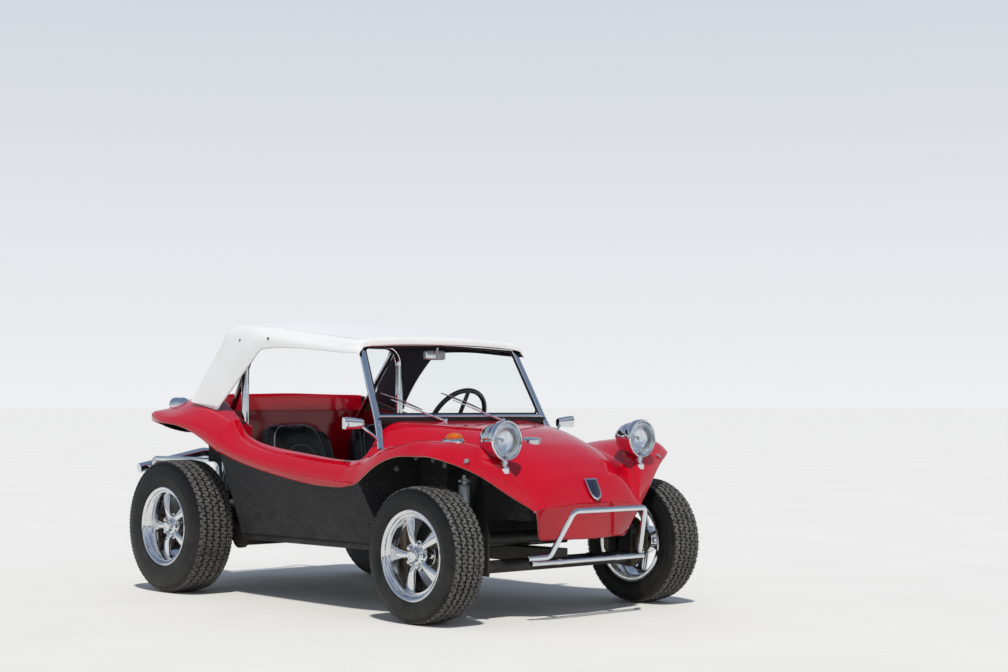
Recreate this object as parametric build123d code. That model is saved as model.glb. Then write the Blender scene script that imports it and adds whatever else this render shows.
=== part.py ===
"""Open two-seat dune buggy: fibreglass tub on a short floor pan, with steering and wheels that turn.

Frame: +X forward, +Y to the car's left, +Z up, origin on the ground under the middle of the car's box.
Stations along the car are given from the middle of the wheelbase and placed by along().
"""

import math
import os

from build123d import *

# Driving sizes, in millimetres
WHEELBASE = 2032
FRONT_OVERHANG = 484
REAR_OVERHANG = 714
LENGTH = FRONT_OVERHANG + WHEELBASE + REAR_OVERHANG
X_FRONT_AXLE = LENGTH / 2 - FRONT_OVERHANG
X_REAR_AXLE = X_FRONT_AXLE - WHEELBASE
X_MIDDLE = (X_FRONT_AXLE + X_REAR_AXLE) / 2
AXLE_STATION = 1016

# Wheels and tyres
RIM_RADIUS = 190.5
FLANGE_RADIUS = 207
RIM_WALL = 5
FRONT_TYRE_RADIUS = 312
FRONT_TYRE_WIDTH = 205
FRONT_TRACK = 1442
REAR_TYRE_RADIUS = 351
REAR_TYRE_WIDTH = 240
REAR_TRACK = 1432
SPOKES = 5
HUB_RADIUS = 62
SPINDLE_RADIUS = 17.5
RUNNING_CLEARANCE = 0.05
MOVING_GAP = 6

# Steering
KINGPIN_Y = 590
KINGPIN_RADIUS = 11
STEERING_ARM = 110
PITMAN_Y = 100
TIE_ROD_RADIUS = 9
COLUMN_SLOPE = 30
COLUMN_RADIUS = 19
STEERING_WHEEL_RADIUS = 178
STEERING_WHEEL_GRIP = 13

# Body
SKIN = 6
TOP_CLOTH = 5
FRAME_HALF_DEPTH = 11
GLASS_HALF = 2.5
PAN_TOP = 310
PAN_PLATE = 8
TUNNEL_HALF = 55
TUNNEL_TOP = 420
WALL_FOOT_Y = 600
WELL_STEP = 44
WELL_HALF = WALL_FOOT_Y - WELL_STEP
WELL_FLOOR = 690
STEP_FOOT = 520
FOOTWELL_HALF = 400
TRAY_HALF = 330
BAR_RADIUS = 20
BUMPER_RADIUS = 13.5
TAIL_PIPE_RADIUS = 27.5
HOOP_RADIUS = 13
TAIL_LAMP_RADIUS = 40

LEFT, RIGHT = 1, -1


def along(station):
    """X of a station, with the axles at AXLE_STATION; between them it stretches with the wheelbase."""
    half = WHEELBASE / 2
    if abs(station) <= AXLE_STATION:
        return X_MIDDLE + station * half / AXLE_STATION
    return X_MIDDLE + station + math.copysign(half - AXLE_STATION, station)


def write(name, *shapes):
    """Write one node from all the solids of the shapes."""
    solids = [solid for shape in shapes for solid in shape.solids()]
    export_step(Compound(children=solids), f"parts/{name}.step")


def across(shape):
    """The same piece on the other side of the car."""
    return mirror(shape, about=Plane.XZ)


def both(shape):
    """A piece and its mirrored twin."""
    return Compound(children=[*shape.solids(), *across(shape).solids()])


def block(x0, x1, y0, y1, z0, z1):
    """A box between two stations and the given sides."""
    a, b = along(x0), along(x1)
    return Pos((a + b) / 2, (y0 + y1) / 2, (z0 + z1) / 2) * Box(abs(b - a), abs(y1 - y0), abs(z1 - z0))


def rod(start, end, radius):
    """A straight round bar between two points."""
    direction = Vector(*end) - Vector(*start)
    plane = Plane(origin=start, z_dir=direction)
    return extrude(plane * Circle(radius), direction.length)


def pipe(points, radius, bend):
    """A bent round bar along straight runs joined by arcs."""
    path = FilletPolyline(*points, radius=bend)
    first = Vector(*points[1]) - Vector(*points[0])
    return sweep(Plane(origin=points[0], z_dir=first) * Circle(radius), path=path)


def ring(y_centre, radius, profile, x_axle):
    """A solid of revolution about an axle; profile points are (offset across the car, radius)."""
    points = [(x_axle, y_centre + side, radius + reach) for side, reach in profile]
    face = Face(Wire.make_polygon([Vector(*p) for p in points]))
    return revolve(face, Axis((x_axle, 0, radius), (0, 1, 0)), 360)


def largest(shape):
    """The biggest solid of a cut."""
    return max(shape.solids(), key=lambda solid: solid.volume)


def inset(points, depth):
    """A profile moved inward by a skin's depth, with mitred corners; the inside is on its right hand."""
    moved = []
    for i, (y, z) in enumerate(points):
        normals = []
        for a, b in ((i - 1, i), (i, i + 1)):
            if a >= 0 and b < len(points):
                dy, dz = points[b][0] - points[a][0], points[b][1] - points[a][1]
                size = math.hypot(dy, dz)
                normals.append((dz / size, -dy / size))
        ny = sum(n[0] for n in normals) / len(normals)
        nz = sum(n[1] for n in normals) / len(normals)
        scale = depth / (ny * ny + nz * nz)
        moved.append((y + ny * scale, z + nz * scale))
    return moved


def band(sections):
    """A thin skin lofted through (station, outer points, inner points) sections, on the car's left side."""
    faces = []
    for station, outer, inner in sections:
        x = along(station)
        loop = [Vector(x, y, z) for y, z in outer] + [Vector(x, y, z) for y, z in reversed(inner)]
        faces.append(Face(Wire.make_polygon(loop)))
    return Solid.make_loft([face.outer_wire() for face in faces], ruled=True)


def panel(station, thickness, points):
    """A flat cross wall at a station, from its (y, z) outline, thickening rearward."""
    face = Face(Wire.make_polygon([Vector(along(station), y, z) for y, z in points]))
    return extrude(face, thickness, dir=(-1, 0, 0))


def side_panel(y, thickness, points):
    """A flat fore-and-aft wall with its outer face at y, from its (station, z) outline."""
    face = Face(Wire.make_polygon([Vector(along(x), y, z) for x, z in points]))
    return extrude(face, thickness, dir=(0, -1, 0))


# Hood sections, front half of the car: station, then (y, z) of centre, shoulder and edge
HOOD = [
    (470, (0, 914), (300, 913), (490, 898)),
    (530, (0, 911), (297, 908), (475, 890)),
    (600, (0, 906), (290, 902), (455, 884)),
    (720, (0, 896), (270, 892), (425, 863)),
    (850, (0, 880), (240, 874), (390, 838)),
    (960, (0, 855), (225, 848), (365, 808)),
    (1060, (0, 826), (212, 817), (345, 776)),
    (1133, (0, 800), (200, 789), (330, 748)),
    (1200, (0, 766), (190, 754), (315, 716)),
    (1250, (0, 735), (180, 722), (300, 684)),
    (1300, (0, 692), (170, 681), (285, 641)),
    (1340, (0, 648), (163, 637), (275, 600)),
]

# Side skin sections from the nose to the tail: station, then (y, z) of valley, slope, crest, shoulder and lip
SIDE = [
    (1340, (335, 545), (350, 556), (358, 552), (365, 538), (371, 520)),
    (1300, (345, 585), (385, 625), (412, 632), (441, 609), (458, 577)),
    (1250, (375, 642), (420, 696), (470, 712), (535, 694), (568, 656)),
    (1200, (405, 690), (455, 762), (540, 768), (620, 749), (668, 711)),
    (1133, (430, 722), (500, 800), (610, 810), (720, 795), (785, 757)),
    (1060, (448, 742), (530, 806), (650, 824), (748, 815), (797, 760)),
    (960, (470, 762), (575, 812), (685, 829), (758, 822), (800, 760)),
    (850, (490, 775), (600, 808), (700, 816), (768, 795), (801, 748)),
    (720, (520, 785), (630, 800), (705, 796), (767, 765), (800, 700)),
    (600, (555, 795), (640, 772), (712, 752), (768, 700), (790, 632)),
    (530, (580, 798), (643, 748), (716, 730), (772, 672), (784, 612)),
    (470, (602, 790), (645, 728), (720, 715), (776, 652), (780, 603)),
    (400, (634, 724), (672, 726), (728, 708), (780, 650), (776, 602)),
    (200, (645, 735), (680, 736), (735, 715), (777, 660), (772, 610)),
    (-50, (650, 760), (683, 760), (738, 738), (775, 682), (765, 640)),
    (-300, (650, 790), (683, 789), (735, 767), (770, 722), (761, 680)),
    (-500, (640, 840), (675, 839), (728, 812), (766, 766), (757, 722)),
    (-600, (617, 905), (660, 900), (720, 860), (762, 798), (756, 750)),
    (-650, (600, 930), (650, 922), (715, 880), (760, 816), (755, 765)),
    (-800, (550, 988), (615, 972), (692, 930), (746, 875), (750, 828)),
    (-1000, (500, 1053), (575, 1022), (662, 970), (734, 922), (745, 883)),
    (-1200, (450, 1045), (555, 1014), (645, 968), (718, 933), (730, 900)),
    (-1380, (420, 1000), (495, 987), (580, 968), (663, 958), (669, 913)),
]

# Nose crease from the corner to the middle: station and (y, z); and what lies above it
NOSE = [
    (1365, (0, 614), (140, 604), (240, 574), (307, 518)),
    (1385, (0, 572), (80, 567), (130, 556), (171, 534)),
    (1392, (0, 551), (30, 550), (60, 546), (81, 539)),
]
DECK_FRONT, DECK_CENTRE = -1000, {-1000: 1061, -1200: 1052, -1380: 1012}
# Lower edge of the turned-down tail, from the lip to the centre line, as (y, z)
TAIL_STATION = -1380
TAIL_EDGE = [(648, 903), (610, 889), (560, 870), (490, 852), (400, 842), (300, 868), (150, 900), (0, 908)]
WALL_FRONT, WALL_REAR = 600, -600


def full_section(station):
    """Outer and inner half profile at a station, from the hood's centre line, or the valley, to the lip."""
    side = next(list(row[1:]) for row in SIDE if row[0] == station)
    hood = next((list(row[1:]) for row in HOOD if row[0] == station), [])
    outer = hood + side
    inner = inset(outer, SKIN)
    if hood:
        inner[0] = (0, inner[0][1])
    return outer, inner, len(hood)


SECTIONS = {row[0]: full_section(row[0]) for row in SIDE}


def side_skin():
    """Fender, rail and rear quarter of one side, as one skin."""
    rows = []
    for station, (outer, inner, hooded) in SECTIONS.items():
        rows.append((station, outer[hooded:], inner[hooded:]))
    return band(rows)


def rear_deck():
    """The deck between the rear quarters, with its front edge turned down and the tail panel."""
    rows = []
    for station, centre in DECK_CENTRE.items():
        outer, inner, _ = SECTIONS[station]
        rows.append((station, [(0, centre), outer[0]], [(0, centre - SKIN), inner[0]]))
    deck = band(rows)
    outer, inner, _ = SECTIONS[DECK_FRONT]
    apron_top = DECK_CENTRE[DECK_FRONT] - SKIN
    apron = panel(DECK_FRONT, SKIN, [(0, apron_top), inner[0], (inner[0][0], 965), (0, 965)])
    outer, _, _ = SECTIONS[TAIL_STATION]
    tail = panel(TAIL_STATION, SKIN, [(0, DECK_CENTRE[TAIL_STATION]), *outer, *TAIL_EDGE])
    return deck + apron + tail


def hood_skin():
    """The raised centre of the front, down to the nose crease."""
    rows = []
    for row in HOOD:
        outer, inner, hooded = SECTIONS[row[0]]
        rows.append((row[0], outer[: hooded + 1], inner[: hooded + 1]))
    for row in NOSE:
        outer = list(row[1:])
        inner = inset(outer, SKIN)
        inner[0] = (0, inner[0][1])
        rows.append((row[0], outer, inner))
    return band(list(reversed(rows)))


# Nose panel: half widths and (station, z) of crease and bottom edge, at the corner and at the middle
CREASE_HALF, CREASE_CORNER, CREASE_MIDDLE = 352, (1356, 511), (1394, 541)
CHIN_HALF, CHIN_CORNER, CHIN_MIDDLE = 284, (1311, 374), (1354, 367)


def nose_panel():
    """The painted panel below the crease, bowed forward in the middle."""
    wires = []
    for share in (-1, -0.87, -0.48, 0, 0.48, 0.87, 1):
        bow = 1 - share * share
        loop = []
        for half, corner, middle in (
            (CREASE_HALF, CREASE_CORNER, CREASE_MIDDLE),
            (CHIN_HALF, CHIN_CORNER, CHIN_MIDDLE),
        ):
            station = corner[0] + (middle[0] - corner[0]) * bow
            height = corner[1] + (middle[1] - corner[1]) * bow
            loop.append(Vector(along(station), half * share, height))
        top, bottom = loop
        back = Vector(-SKIN, 0, 0)
        wires.append(Wire.make_polygon([top, bottom, bottom + back, top + back]))
    return Solid.make_loft(wires, ruled=True)


def tub():
    """Dark lower body: side walls on the pan's edge, footwell, rear well and the walls between."""
    rows = []
    for station, (_, inner, _) in SECTIONS.items():
        if WALL_REAR <= station <= WALL_FRONT:
            outer = [inner[-2], inner[-1], (WALL_FOOT_Y, PAN_TOP), (WALL_FOOT_Y - 45, PAN_TOP)]
            rows.append((station, outer, inset(outer, SKIN)))
    wall = band(rows)

    front_inner = SECTIONS[WALL_FRONT][1]
    front = panel(WALL_FRONT, SKIN, [
        (FOOTWELL_HALF, PAN_TOP), (WALL_FOOT_Y, PAN_TOP), front_inner[-1], front_inner[-2],
        front_inner[-3], front_inner[-4], front_inner[-5], (FOOTWELL_HALF, 830),
    ])
    rear_inner = SECTIONS[WALL_REAR][1]
    rear = Pos(SKIN, 0, 0) * panel(WALL_REAR, SKIN, [
        (WELL_HALF - SKIN, PAN_TOP), (WALL_FOOT_Y, PAN_TOP), rear_inner[-1], rear_inner[-2],
        rear_inner[-3], rear_inner[-4], rear_inner[-5], (WELL_HALF - SKIN, 880),
    ])
    foot_side = side_panel(FOOTWELL_HALF + SKIN, SKIN, [
        (594, PAN_TOP), (800, PAN_TOP), (800, 790), (594, 830),
    ])
    well_side = side_panel(WELL_HALF, SKIN, [
        (-594, PAN_TOP), (-594, 880), (-650, 905), (-800, 965), (-985, 990), (-985, WELL_FLOOR),
        (-775, WELL_FLOOR), (-640, STEP_FOOT), (-640, PAN_TOP),
    ])
    tray_side = side_panel(TRAY_HALF, SKIN, [(794, 460), (1280, 460), (1280, 600), (1100, 735), (794, 770)])
    sides = both(wall + front + rear + foot_side + well_side + tray_side)

    toe = block(794, 800, -FOOTWELL_HALF, FOOTWELL_HALF, PAN_TOP, 790)
    well_floor = block(-985, -769, -WELL_HALF, WELL_HALF, WELL_FLOOR, WELL_FLOOR + SKIN)
    well_front = block(-640, -634, -WELL_HALF, WELL_HALF, PAN_TOP, STEP_FOOT)
    step = Pos(0, 2 * WELL_HALF - WELL_HALF, 0) * side_panel(0, 2 * WELL_HALF, [
        (-634, STEP_FOOT - 2), (-769, WELL_FLOOR + SKIN), (-775, WELL_FLOOR), (-640, STEP_FOOT - 2),
    ])
    well_back = block(-991, -985, -WELL_HALF, WELL_HALF, WELL_FLOOR, 965)
    tray = block(794, 1280, -TRAY_HALF, TRAY_HALF, 460, 466)
    tray_front = block(1274, 1280, -TRAY_HALF, TRAY_HALF, 460, 600)
    whole = sides.solids()[0]
    for piece in [*sides.solids()[1:], toe, well_floor, well_front, step, well_back, tray, tray_front]:
        whole = whole + piece
    return whole


def floor_pan():
    """Steel floor with its centre tunnel and the frame head that carries the front beam."""
    outline = [(-648, WELL_HALF - 76), (-606, WELL_HALF - 1), (-600, WALL_FOOT_Y), (600, WALL_FOOT_Y),
               (606, FOOTWELL_HALF), (800, FOOTWELL_HALF), (800, 2 * TUNNEL_HALF)]
    points = [Vector(along(x), y, PAN_TOP) for x, y in outline]
    points += [Vector(along(x), -y, PAN_TOP) for x, y in reversed(outline)]
    plate = extrude(Face(Wire.make_polygon(points)), PAN_PLATE, dir=(0, 0, -1))
    tunnel = block(-628, 700, -TUNNEL_HALF, TUNNEL_HALF, PAN_TOP - PAN_PLATE, TUNNEL_TOP)
    head = block(640, AXLE_STATION + 134, -TUNNEL_HALF, TUNNEL_HALF, 240, PAN_TOP)
    spine = block(-720, 640, -TUNNEL_HALF, TUNNEL_HALF, 270, PAN_TOP)
    return plate + tunnel + head + spine


BEAM_STATION = AXLE_STATION + 115
ENGINE_FRONT = -AXLE_STATION - 94
BEAM_TUBE = 30
ARM_REACH = 120
BEAM_HALF = KINGPIN_Y - ARM_REACH
ARM_SPREAD = 65


def front_beam():
    """Two cross tubes, their end towers, the trailing arms and the kingpins."""
    x_beam = along(BEAM_STATION)
    z = FRONT_TYRE_RADIUS
    reach = BEAM_HALF + 5
    tubes = [rod((x_beam, -reach, z + s * ARM_SPREAD), (x_beam, reach, z + s * ARM_SPREAD), BEAM_TUBE)
             for s in (1, -1)]
    tower = side_panel(BEAM_HALF + 12, 12, [
        (BEAM_STATION + 42, z - 105), (BEAM_STATION + 42, z + 90), (BEAM_STATION - 20, z + 350),
        (BEAM_STATION - 80, z + 350), (BEAM_STATION - 42, z + 90), (BEAM_STATION - 42, z - 105),
    ])
    arm_y = (BEAM_HALF + 12 + KINGPIN_Y) / 2
    pieces = []
    for s in (1, -1):
        height = z + s * ARM_SPREAD
        pieces.append(rod((x_beam, BEAM_HALF + 8, height), (x_beam, BEAM_HALF + 60, height), 24))
        pieces.append(rod((x_beam, BEAM_HALF + 40, height), (X_FRONT_AXLE, BEAM_HALF + 40, height), 14))
        pieces.append(rod((X_FRONT_AXLE, BEAM_HALF + 40, height), (X_FRONT_AXLE, KINGPIN_Y, height), 15))
        pieces.append(rod((X_FRONT_AXLE, KINGPIN_Y, height - 18), (X_FRONT_AXLE, KINGPIN_Y, height + 18), 19))
    upright = Pos(X_FRONT_AXLE, BEAM_HALF + 40, z) * Box(38, 34, 2 * ARM_SPREAD + 40)
    reach = ARM_SPREAD + 20
    kingpin = rod((X_FRONT_AXLE, KINGPIN_Y, z - reach), (X_FRONT_AXLE, KINGPIN_Y, z + reach), KINGPIN_RADIUS)
    side = tower + pieces[0]
    for piece in [*pieces[1:], upright, kingpin]:
        side = side + piece
    return tubes[0] + side + across(side) + tubes[1]


KNUCKLE_HALF = 41
FRONT_HUB_BACK = 612
REAR_HUB_BACK = REAR_TRACK / 2 - 131
SPRING_PLATE_Y = REAR_TRACK / 2 - 165
BORE_DEPTH = 70
ARM_HEIGHT = FRONT_TYRE_RADIUS + 40


def knuckle():
    """Left stub axle carrier, turning on the kingpin, with its steering arm pointing to the rear."""
    z = FRONT_TYRE_RADIUS
    barrel = rod((X_FRONT_AXLE, KINGPIN_Y, z - KNUCKLE_HALF), (X_FRONT_AXLE, KINGPIN_Y, z + KNUCKLE_HALF), 22)
    flange = rod((X_FRONT_AXLE, KINGPIN_Y + 8, z), (X_FRONT_AXLE, FRONT_HUB_BACK - MOVING_GAP, z), 38)
    spindle = rod((X_FRONT_AXLE, KINGPIN_Y + 10, z), (X_FRONT_AXLE, FRONT_HUB_BACK + BORE_DEPTH - 5, z),
                  SPINDLE_RADIUS)
    x_end = X_FRONT_AXLE - STEERING_ARM
    arm = Pos((X_FRONT_AXLE + x_end) / 2, KINGPIN_Y, ARM_HEIGHT) * Box(STEERING_ARM, 22, 8)
    eye = rod((x_end, KINGPIN_Y, ARM_HEIGHT - 4), (x_end, KINGPIN_Y, ARM_HEIGHT + 4), 16)
    bore = rod((X_FRONT_AXLE, KINGPIN_Y, z - 100), (X_FRONT_AXLE, KINGPIN_Y, z + 100),
               KINGPIN_RADIUS + RUNNING_CLEARANCE)
    eye_hole = rod((x_end, KINGPIN_Y, ARM_HEIGHT - 20), (x_end, KINGPIN_Y, ARM_HEIGHT + 20), 9)
    return barrel + flange + spindle + arm + eye - bore - eye_hole


def tie_rod(side):
    """Rod from the pitman arm to a knuckle arm; its outer pin stands in the arm's eye with clearance."""
    x = X_FRONT_AXLE - STEERING_ARM
    height = ARM_HEIGHT + (24 if side == LEFT else -24)
    y_out = side * KINGPIN_Y
    bar = rod((x, PITMAN_Y, height), (x, y_out, height), TIE_ROD_RADIUS)
    pin_to = ARM_HEIGHT + (-6 if side == LEFT else 6)
    pin = rod((x, y_out, height), (x, y_out, pin_to), 3.9)
    outer_end = rod((x, y_out, height - 10), (x, y_out, height + 10), 14)
    inner_end = rod((x, PITMAN_Y, height - 10), (x, PITMAN_Y, height + 10), 14)
    hole = rod((x, PITMAN_Y, height - 30), (x, PITMAN_Y, height + 30), 7 + RUNNING_CLEARANCE)
    return bar + pin + outer_end + inner_end - hole


def pitman_arm():
    """Arm below the steering box that moves both tie rods."""
    x_end = X_FRONT_AXLE - STEERING_ARM
    arm = Pos((X_FRONT_AXLE + x_end) / 2, PITMAN_Y, ARM_HEIGHT) * Box(STEERING_ARM, 24, 12)
    boss = rod((X_FRONT_AXLE, PITMAN_Y, ARM_HEIGHT - 12), (X_FRONT_AXLE, PITMAN_Y, ARM_HEIGHT + 12), 20)
    bore = rod((X_FRONT_AXLE, PITMAN_Y, ARM_HEIGHT - 30), (X_FRONT_AXLE, PITMAN_Y, ARM_HEIGHT + 30),
               10 + RUNNING_CLEARANCE)
    pin = rod((x_end, PITMAN_Y, ARM_HEIGHT - 36), (x_end, PITMAN_Y, ARM_HEIGHT + 36), 7)
    return arm + boss + pin - bore


WHEEL_CENTRE = (37, 330, 917)


def column_point(distance, offset=0.0):
    """A point on the steering column's axis, a distance forward and down from the wheel's centre."""
    slope = math.radians(COLUMN_SLOPE)
    x = along(WHEEL_CENTRE[0]) + distance * math.cos(slope) + offset * math.sin(slope)
    z = WHEEL_CENTRE[2] - distance * math.sin(slope) + offset * math.cos(slope)
    return (x, WHEEL_CENTRE[1], z)


def steering_wheel():
    """Three-spoke wheel on a hub that turns on the column's tip."""
    origin = column_point(0)
    toward_driver = (-math.cos(math.radians(COLUMN_SLOPE)), 0, math.sin(math.radians(COLUMN_SLOPE)))
    plane = Plane(origin=origin, x_dir=(0, 1, 0), z_dir=toward_driver)
    rim = plane * Torus(STEERING_WHEEL_RADIUS, STEERING_WHEEL_GRIP)
    hub = extrude(plane.offset(-30) * Circle(32), 34)
    wheel = rim + hub
    for turn in (0, 180, 270):
        spoke = Pos(STEERING_WHEEL_RADIUS / 2, 0, -4) * Box(STEERING_WHEEL_RADIUS, 26, 5)
        wheel = wheel + plane * Rot(0, 0, turn) * spoke
    bore = extrude(plane.offset(-40) * Circle(9 + RUNNING_CLEARANCE), 34)
    return wheel - bore


def steering_column():
    """Column with its top bearing and shaft tip, lower shaft, and the steering box on the front beam."""
    toe_run = (along(794) - along(WHEEL_CENTRE[0])) / math.cos(math.radians(COLUMN_SLOPE))
    column = rod(column_point(30 + MOVING_GAP), column_point(toe_run + 40), COLUMN_RADIUS)
    tip = rod(column_point(8), column_point(60), 9)
    cutter = block(794, 1100, 0, 600, 0, 900)
    column = column + tip - cutter
    box_low, box_high = ARM_HEIGHT + 12 + 2, 455
    x_beam = along(BEAM_STATION)
    case = rod((X_FRONT_AXLE, PITMAN_Y, box_low), (X_FRONT_AXLE, PITMAN_Y, box_high), 38)
    clamp = Pos((X_FRONT_AXLE + x_beam) / 2, PITMAN_Y, FRONT_TYRE_RADIUS + ARM_SPREAD + 34) * Box(
        x_beam - X_FRONT_AXLE + 30, 50, 30)
    z_tube = FRONT_TYRE_RADIUS + ARM_SPREAD
    clamp = clamp - rod((x_beam, 0, z_tube), (x_beam, 300, z_tube), BEAM_TUBE)
    sector = rod((X_FRONT_AXLE, PITMAN_Y, ARM_HEIGHT - 14), (X_FRONT_AXLE, PITMAN_Y, box_high), 10)
    box = case + clamp + sector
    shaft = rod((along(800), WHEEL_CENTRE[1] - 20, 440), (X_FRONT_AXLE, PITMAN_Y, 425), 9)
    return column, box + (shaft - block(700, 800, 0, 600, 0, 900))


def road_wheel(y_centre, width, radius, x_axle, back, spread):
    """Five-spoke deep-lipped wheel with its hub and brake disc, on the left side."""
    half = width / 2 - 14
    lip = [
        (half, FLANGE_RADIUS), (half + RIM_WALL, FLANGE_RADIUS), (half + RIM_WALL, RIM_RADIUS - 8),
        (half - 60, RIM_RADIUS - 24), (-half + 30, RIM_RADIUS - 24),
        (-half - RIM_WALL, RIM_RADIUS - RIM_WALL), (-half - RIM_WALL, FLANGE_RADIUS),
        (-half, FLANGE_RADIUS), (-half, RIM_RADIUS),
        (-half + 26, RIM_RADIUS), (-half + 34, RIM_RADIUS - 18), (half - 56, RIM_RADIUS - 18),
        (half - 26, RIM_RADIUS), (half, RIM_RADIUS),
    ]
    wheel = ring(y_centre, radius, lip, x_axle)
    hub = rod((x_axle, back, radius), (x_axle, y_centre + half - spread, radius), HUB_RADIUS)
    wheel = wheel + hub
    face_y = y_centre + half - spread
    root, tip = HUB_RADIUS - 12, RIM_RADIUS - 16
    outline = [(root, 16), (root + 60, 19), (tip, 31), (tip, -31), (root + 60, -19), (root, -16)]
    for i in range(SPOKES):
        turn = 360 / SPOKES * i + 90
        plane = Plane(origin=(x_axle, face_y - 4, radius), x_dir=(1, 0, 0), z_dir=(0, -1, 0))
        spoke = extrude(plane * Rot(0, 0, turn) * make_face(Polyline(*outline, close=True)), 22)
        wheel = wheel + spoke
    wheel = wheel + rod((x_axle, face_y - 1, radius), (x_axle, face_y + 16, radius), 30)
    disc = rod((x_axle, back, radius), (x_axle, back + 11, radius), 130)
    bore_radius = SPINDLE_RADIUS + RUNNING_CLEARANCE
    bore = rod((x_axle, back - 20, radius), (x_axle, back + BORE_DEPTH, radius), bore_radius)
    return wheel + disc - bore


def tyre(y_centre, width, radius, x_axle):
    """Block-tread tyre carcass seated on the rim's bead."""
    half, bead, side = width / 2, width / 2 - 14, radius - RIM_RADIUS
    outer = [
        (bead, RIM_RADIUS), (bead, FLANGE_RADIUS + 3), (half, RIM_RADIUS + 0.48 * side),
        (half - 5, RIM_RADIUS + 0.74 * side), (half - 16, radius - 9), (half - 38, radius),
    ]
    loop = outer + [(-s, r) for s, r in reversed(outer)]
    return ring(y_centre, radius, loop, x_axle)


def torsion_housing():
    """Rear cross tube with its spring plates and the fork that holds the transaxle."""
    station, z = 311 - AXLE_STATION, 300
    x = along(station)
    tube = rod((x, 6 - SPRING_PLATE_Y, z), (x, SPRING_PLATE_Y - 6, z), 48)
    cap = rod((x, SPRING_PLATE_Y - 26, z), (x, SPRING_PLATE_Y + 2, z), 60)
    end = -AXLE_STATION - 34
    plate = side_panel(SPRING_PLATE_Y, 8, [
        (station + 20, z + 34), (station + 20, z - 34),
        (end, REAR_TYRE_RADIUS - 45), (end, REAR_TYRE_RADIUS + 25),
    ])
    fork = block(16 - AXLE_STATION, 286 - AXLE_STATION, 112, 140, 300, 350)
    side = cap + plate + fork
    return tube + side + across(side)


def rear_axle():
    """Axle tubes with flanges and backing plates, carrying the rear spindles."""
    z = REAR_TYRE_RADIUS
    tube = rod((X_REAR_AXLE, 150, z), (X_REAR_AXLE, SPRING_PLATE_Y - 8, z), 34)
    plate = rod((X_REAR_AXLE, SPRING_PLATE_Y + 1, z), (X_REAR_AXLE, REAR_HUB_BACK - MOVING_GAP, z), 118)
    spindle_end = REAR_HUB_BACK + BORE_DEPTH - 5
    spindle = rod((X_REAR_AXLE, SPRING_PLATE_Y + 1, z), (X_REAR_AXLE, spindle_end, z), SPINDLE_RADIUS)
    return tube, plate + spindle


def transaxle():
    """Gearbox and final drive case between the fork arms."""
    z = REAR_TYRE_RADIUS
    x = X_REAR_AXLE
    case = rod((along(256 - AXLE_STATION), 0, z + 15), (x + 56, 0, z + 15), 78)
    drive = rod((x, -110, z + 5), (x, 110, z + 5), 108)
    bell = rod((x + 56, 0, z + 25), (along(ENGINE_FRONT), 0, z + 25), 105)
    cover = rod((x, 100, z), (x, 150, z), 60)
    whole = case + drive + bell + cover + across(cover)
    return whole




def engine():
    """Flat four: crankcase, finned cylinders, heads, pulley and carburettor."""
    z = REAR_TYRE_RADIUS + 25
    case = block(ENGINE_FRONT - 400, ENGINE_FRONT, -120, 120, z - 130, z + 95)
    whole = case
    for station in (ENGINE_FRONT - 95, ENGINE_FRONT - 250):
        barrel = rod((along(station), 110, z), (along(station), 262, z), 48)
        for i in range(7):
            y = 132 + 18 * i
            barrel = barrel + rod((along(station), y, z), (along(station), y + 6, z), 62)
        whole = whole + barrel + across(barrel)
    head = block(ENGINE_FRONT - 330, ENGINE_FRONT - 20, 258, 330, z - 62, z + 58)
    whole = whole + head + across(head)
    pulley = rod((along(ENGINE_FRONT - 398), 0, z - 10), (along(ENGINE_FRONT - 418), 0, z - 10), 86)
    return whole + pulley


def fan_shroud():
    """Cooling shroud across the engine, with the fan's round housing and the generator."""
    z0 = REAR_TYRE_RADIUS + 120
    outline = [(-300, z0), (300, z0), (300, z0 + 90), (170, z0 + 290), (-170, z0 + 290), (-300, z0 + 90)]
    shroud = panel(ENGINE_FRONT - 60, 120, outline)
    generator = rod((along(ENGINE_FRONT - 180), 0, z0 + 170), (along(ENGINE_FRONT - 340), 0, z0 + 170), 52)
    pulley = rod((along(ENGINE_FRONT - 340), 0, z0 + 170), (along(ENGINE_FRONT - 362), 0, z0 + 170), 60)
    stand = block(ENGINE_FRONT - 330, ENGINE_FRONT - 220, -30, 30, z0, z0 + 130)
    return shroud + generator + pulley + stand


def exhaust():
    """Header pipes into a collector behind the engine, and one large bright tail pipe."""
    z = REAR_TYRE_RADIUS + 25
    pieces = []
    for side in (LEFT, RIGHT):
        points = [
            (along(ENGINE_FRONT - 175), side * 294, z - 62), (along(ENGINE_FRONT - 175), side * 294, z - 135),
            (along(ENGINE_FRONT - 470), side * 294, z - 135), (along(ENGINE_FRONT - 470), side * 60, z - 60),
        ]
        pieces.append(pipe(points, 19, 45))
    box = rod((along(ENGINE_FRONT - 470), -190, z - 60), (along(ENGINE_FRONT - 470), 190, z - 60), 52)
    rise = Vector(along(ENGINE_FRONT - 530), -60, 742)
    tip = Vector(-LENGTH / 2 + TAIL_PIPE_RADIUS, -550, 637)
    slant = (tip - rise).normalized().X
    tip = Vector(-LENGTH / 2 + TAIL_PIPE_RADIUS * math.sqrt(1 - slant * slant), tip.Y, tip.Z)
    tail = pipe([(along(ENGINE_FRONT - 470), -60, z - 30), tuple(rise), tuple(tip)], TAIL_PIPE_RADIUS, 90)
    return box + pieces[0] + pieces[1] + tail


def rear_bumper():
    """Bright tube round the tail, on two side rails."""
    high, low = 695, 440
    bend = along(-AXLE_STATION - 624)
    return pipe([
        (along(-991), 505, high), (bend, 505, high), (bend - 25, 400, low), (bend - 25, -400, low),
        (bend, -505, high), (along(-991), -505, high),
    ], BUMPER_RADIUS, 60)


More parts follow.
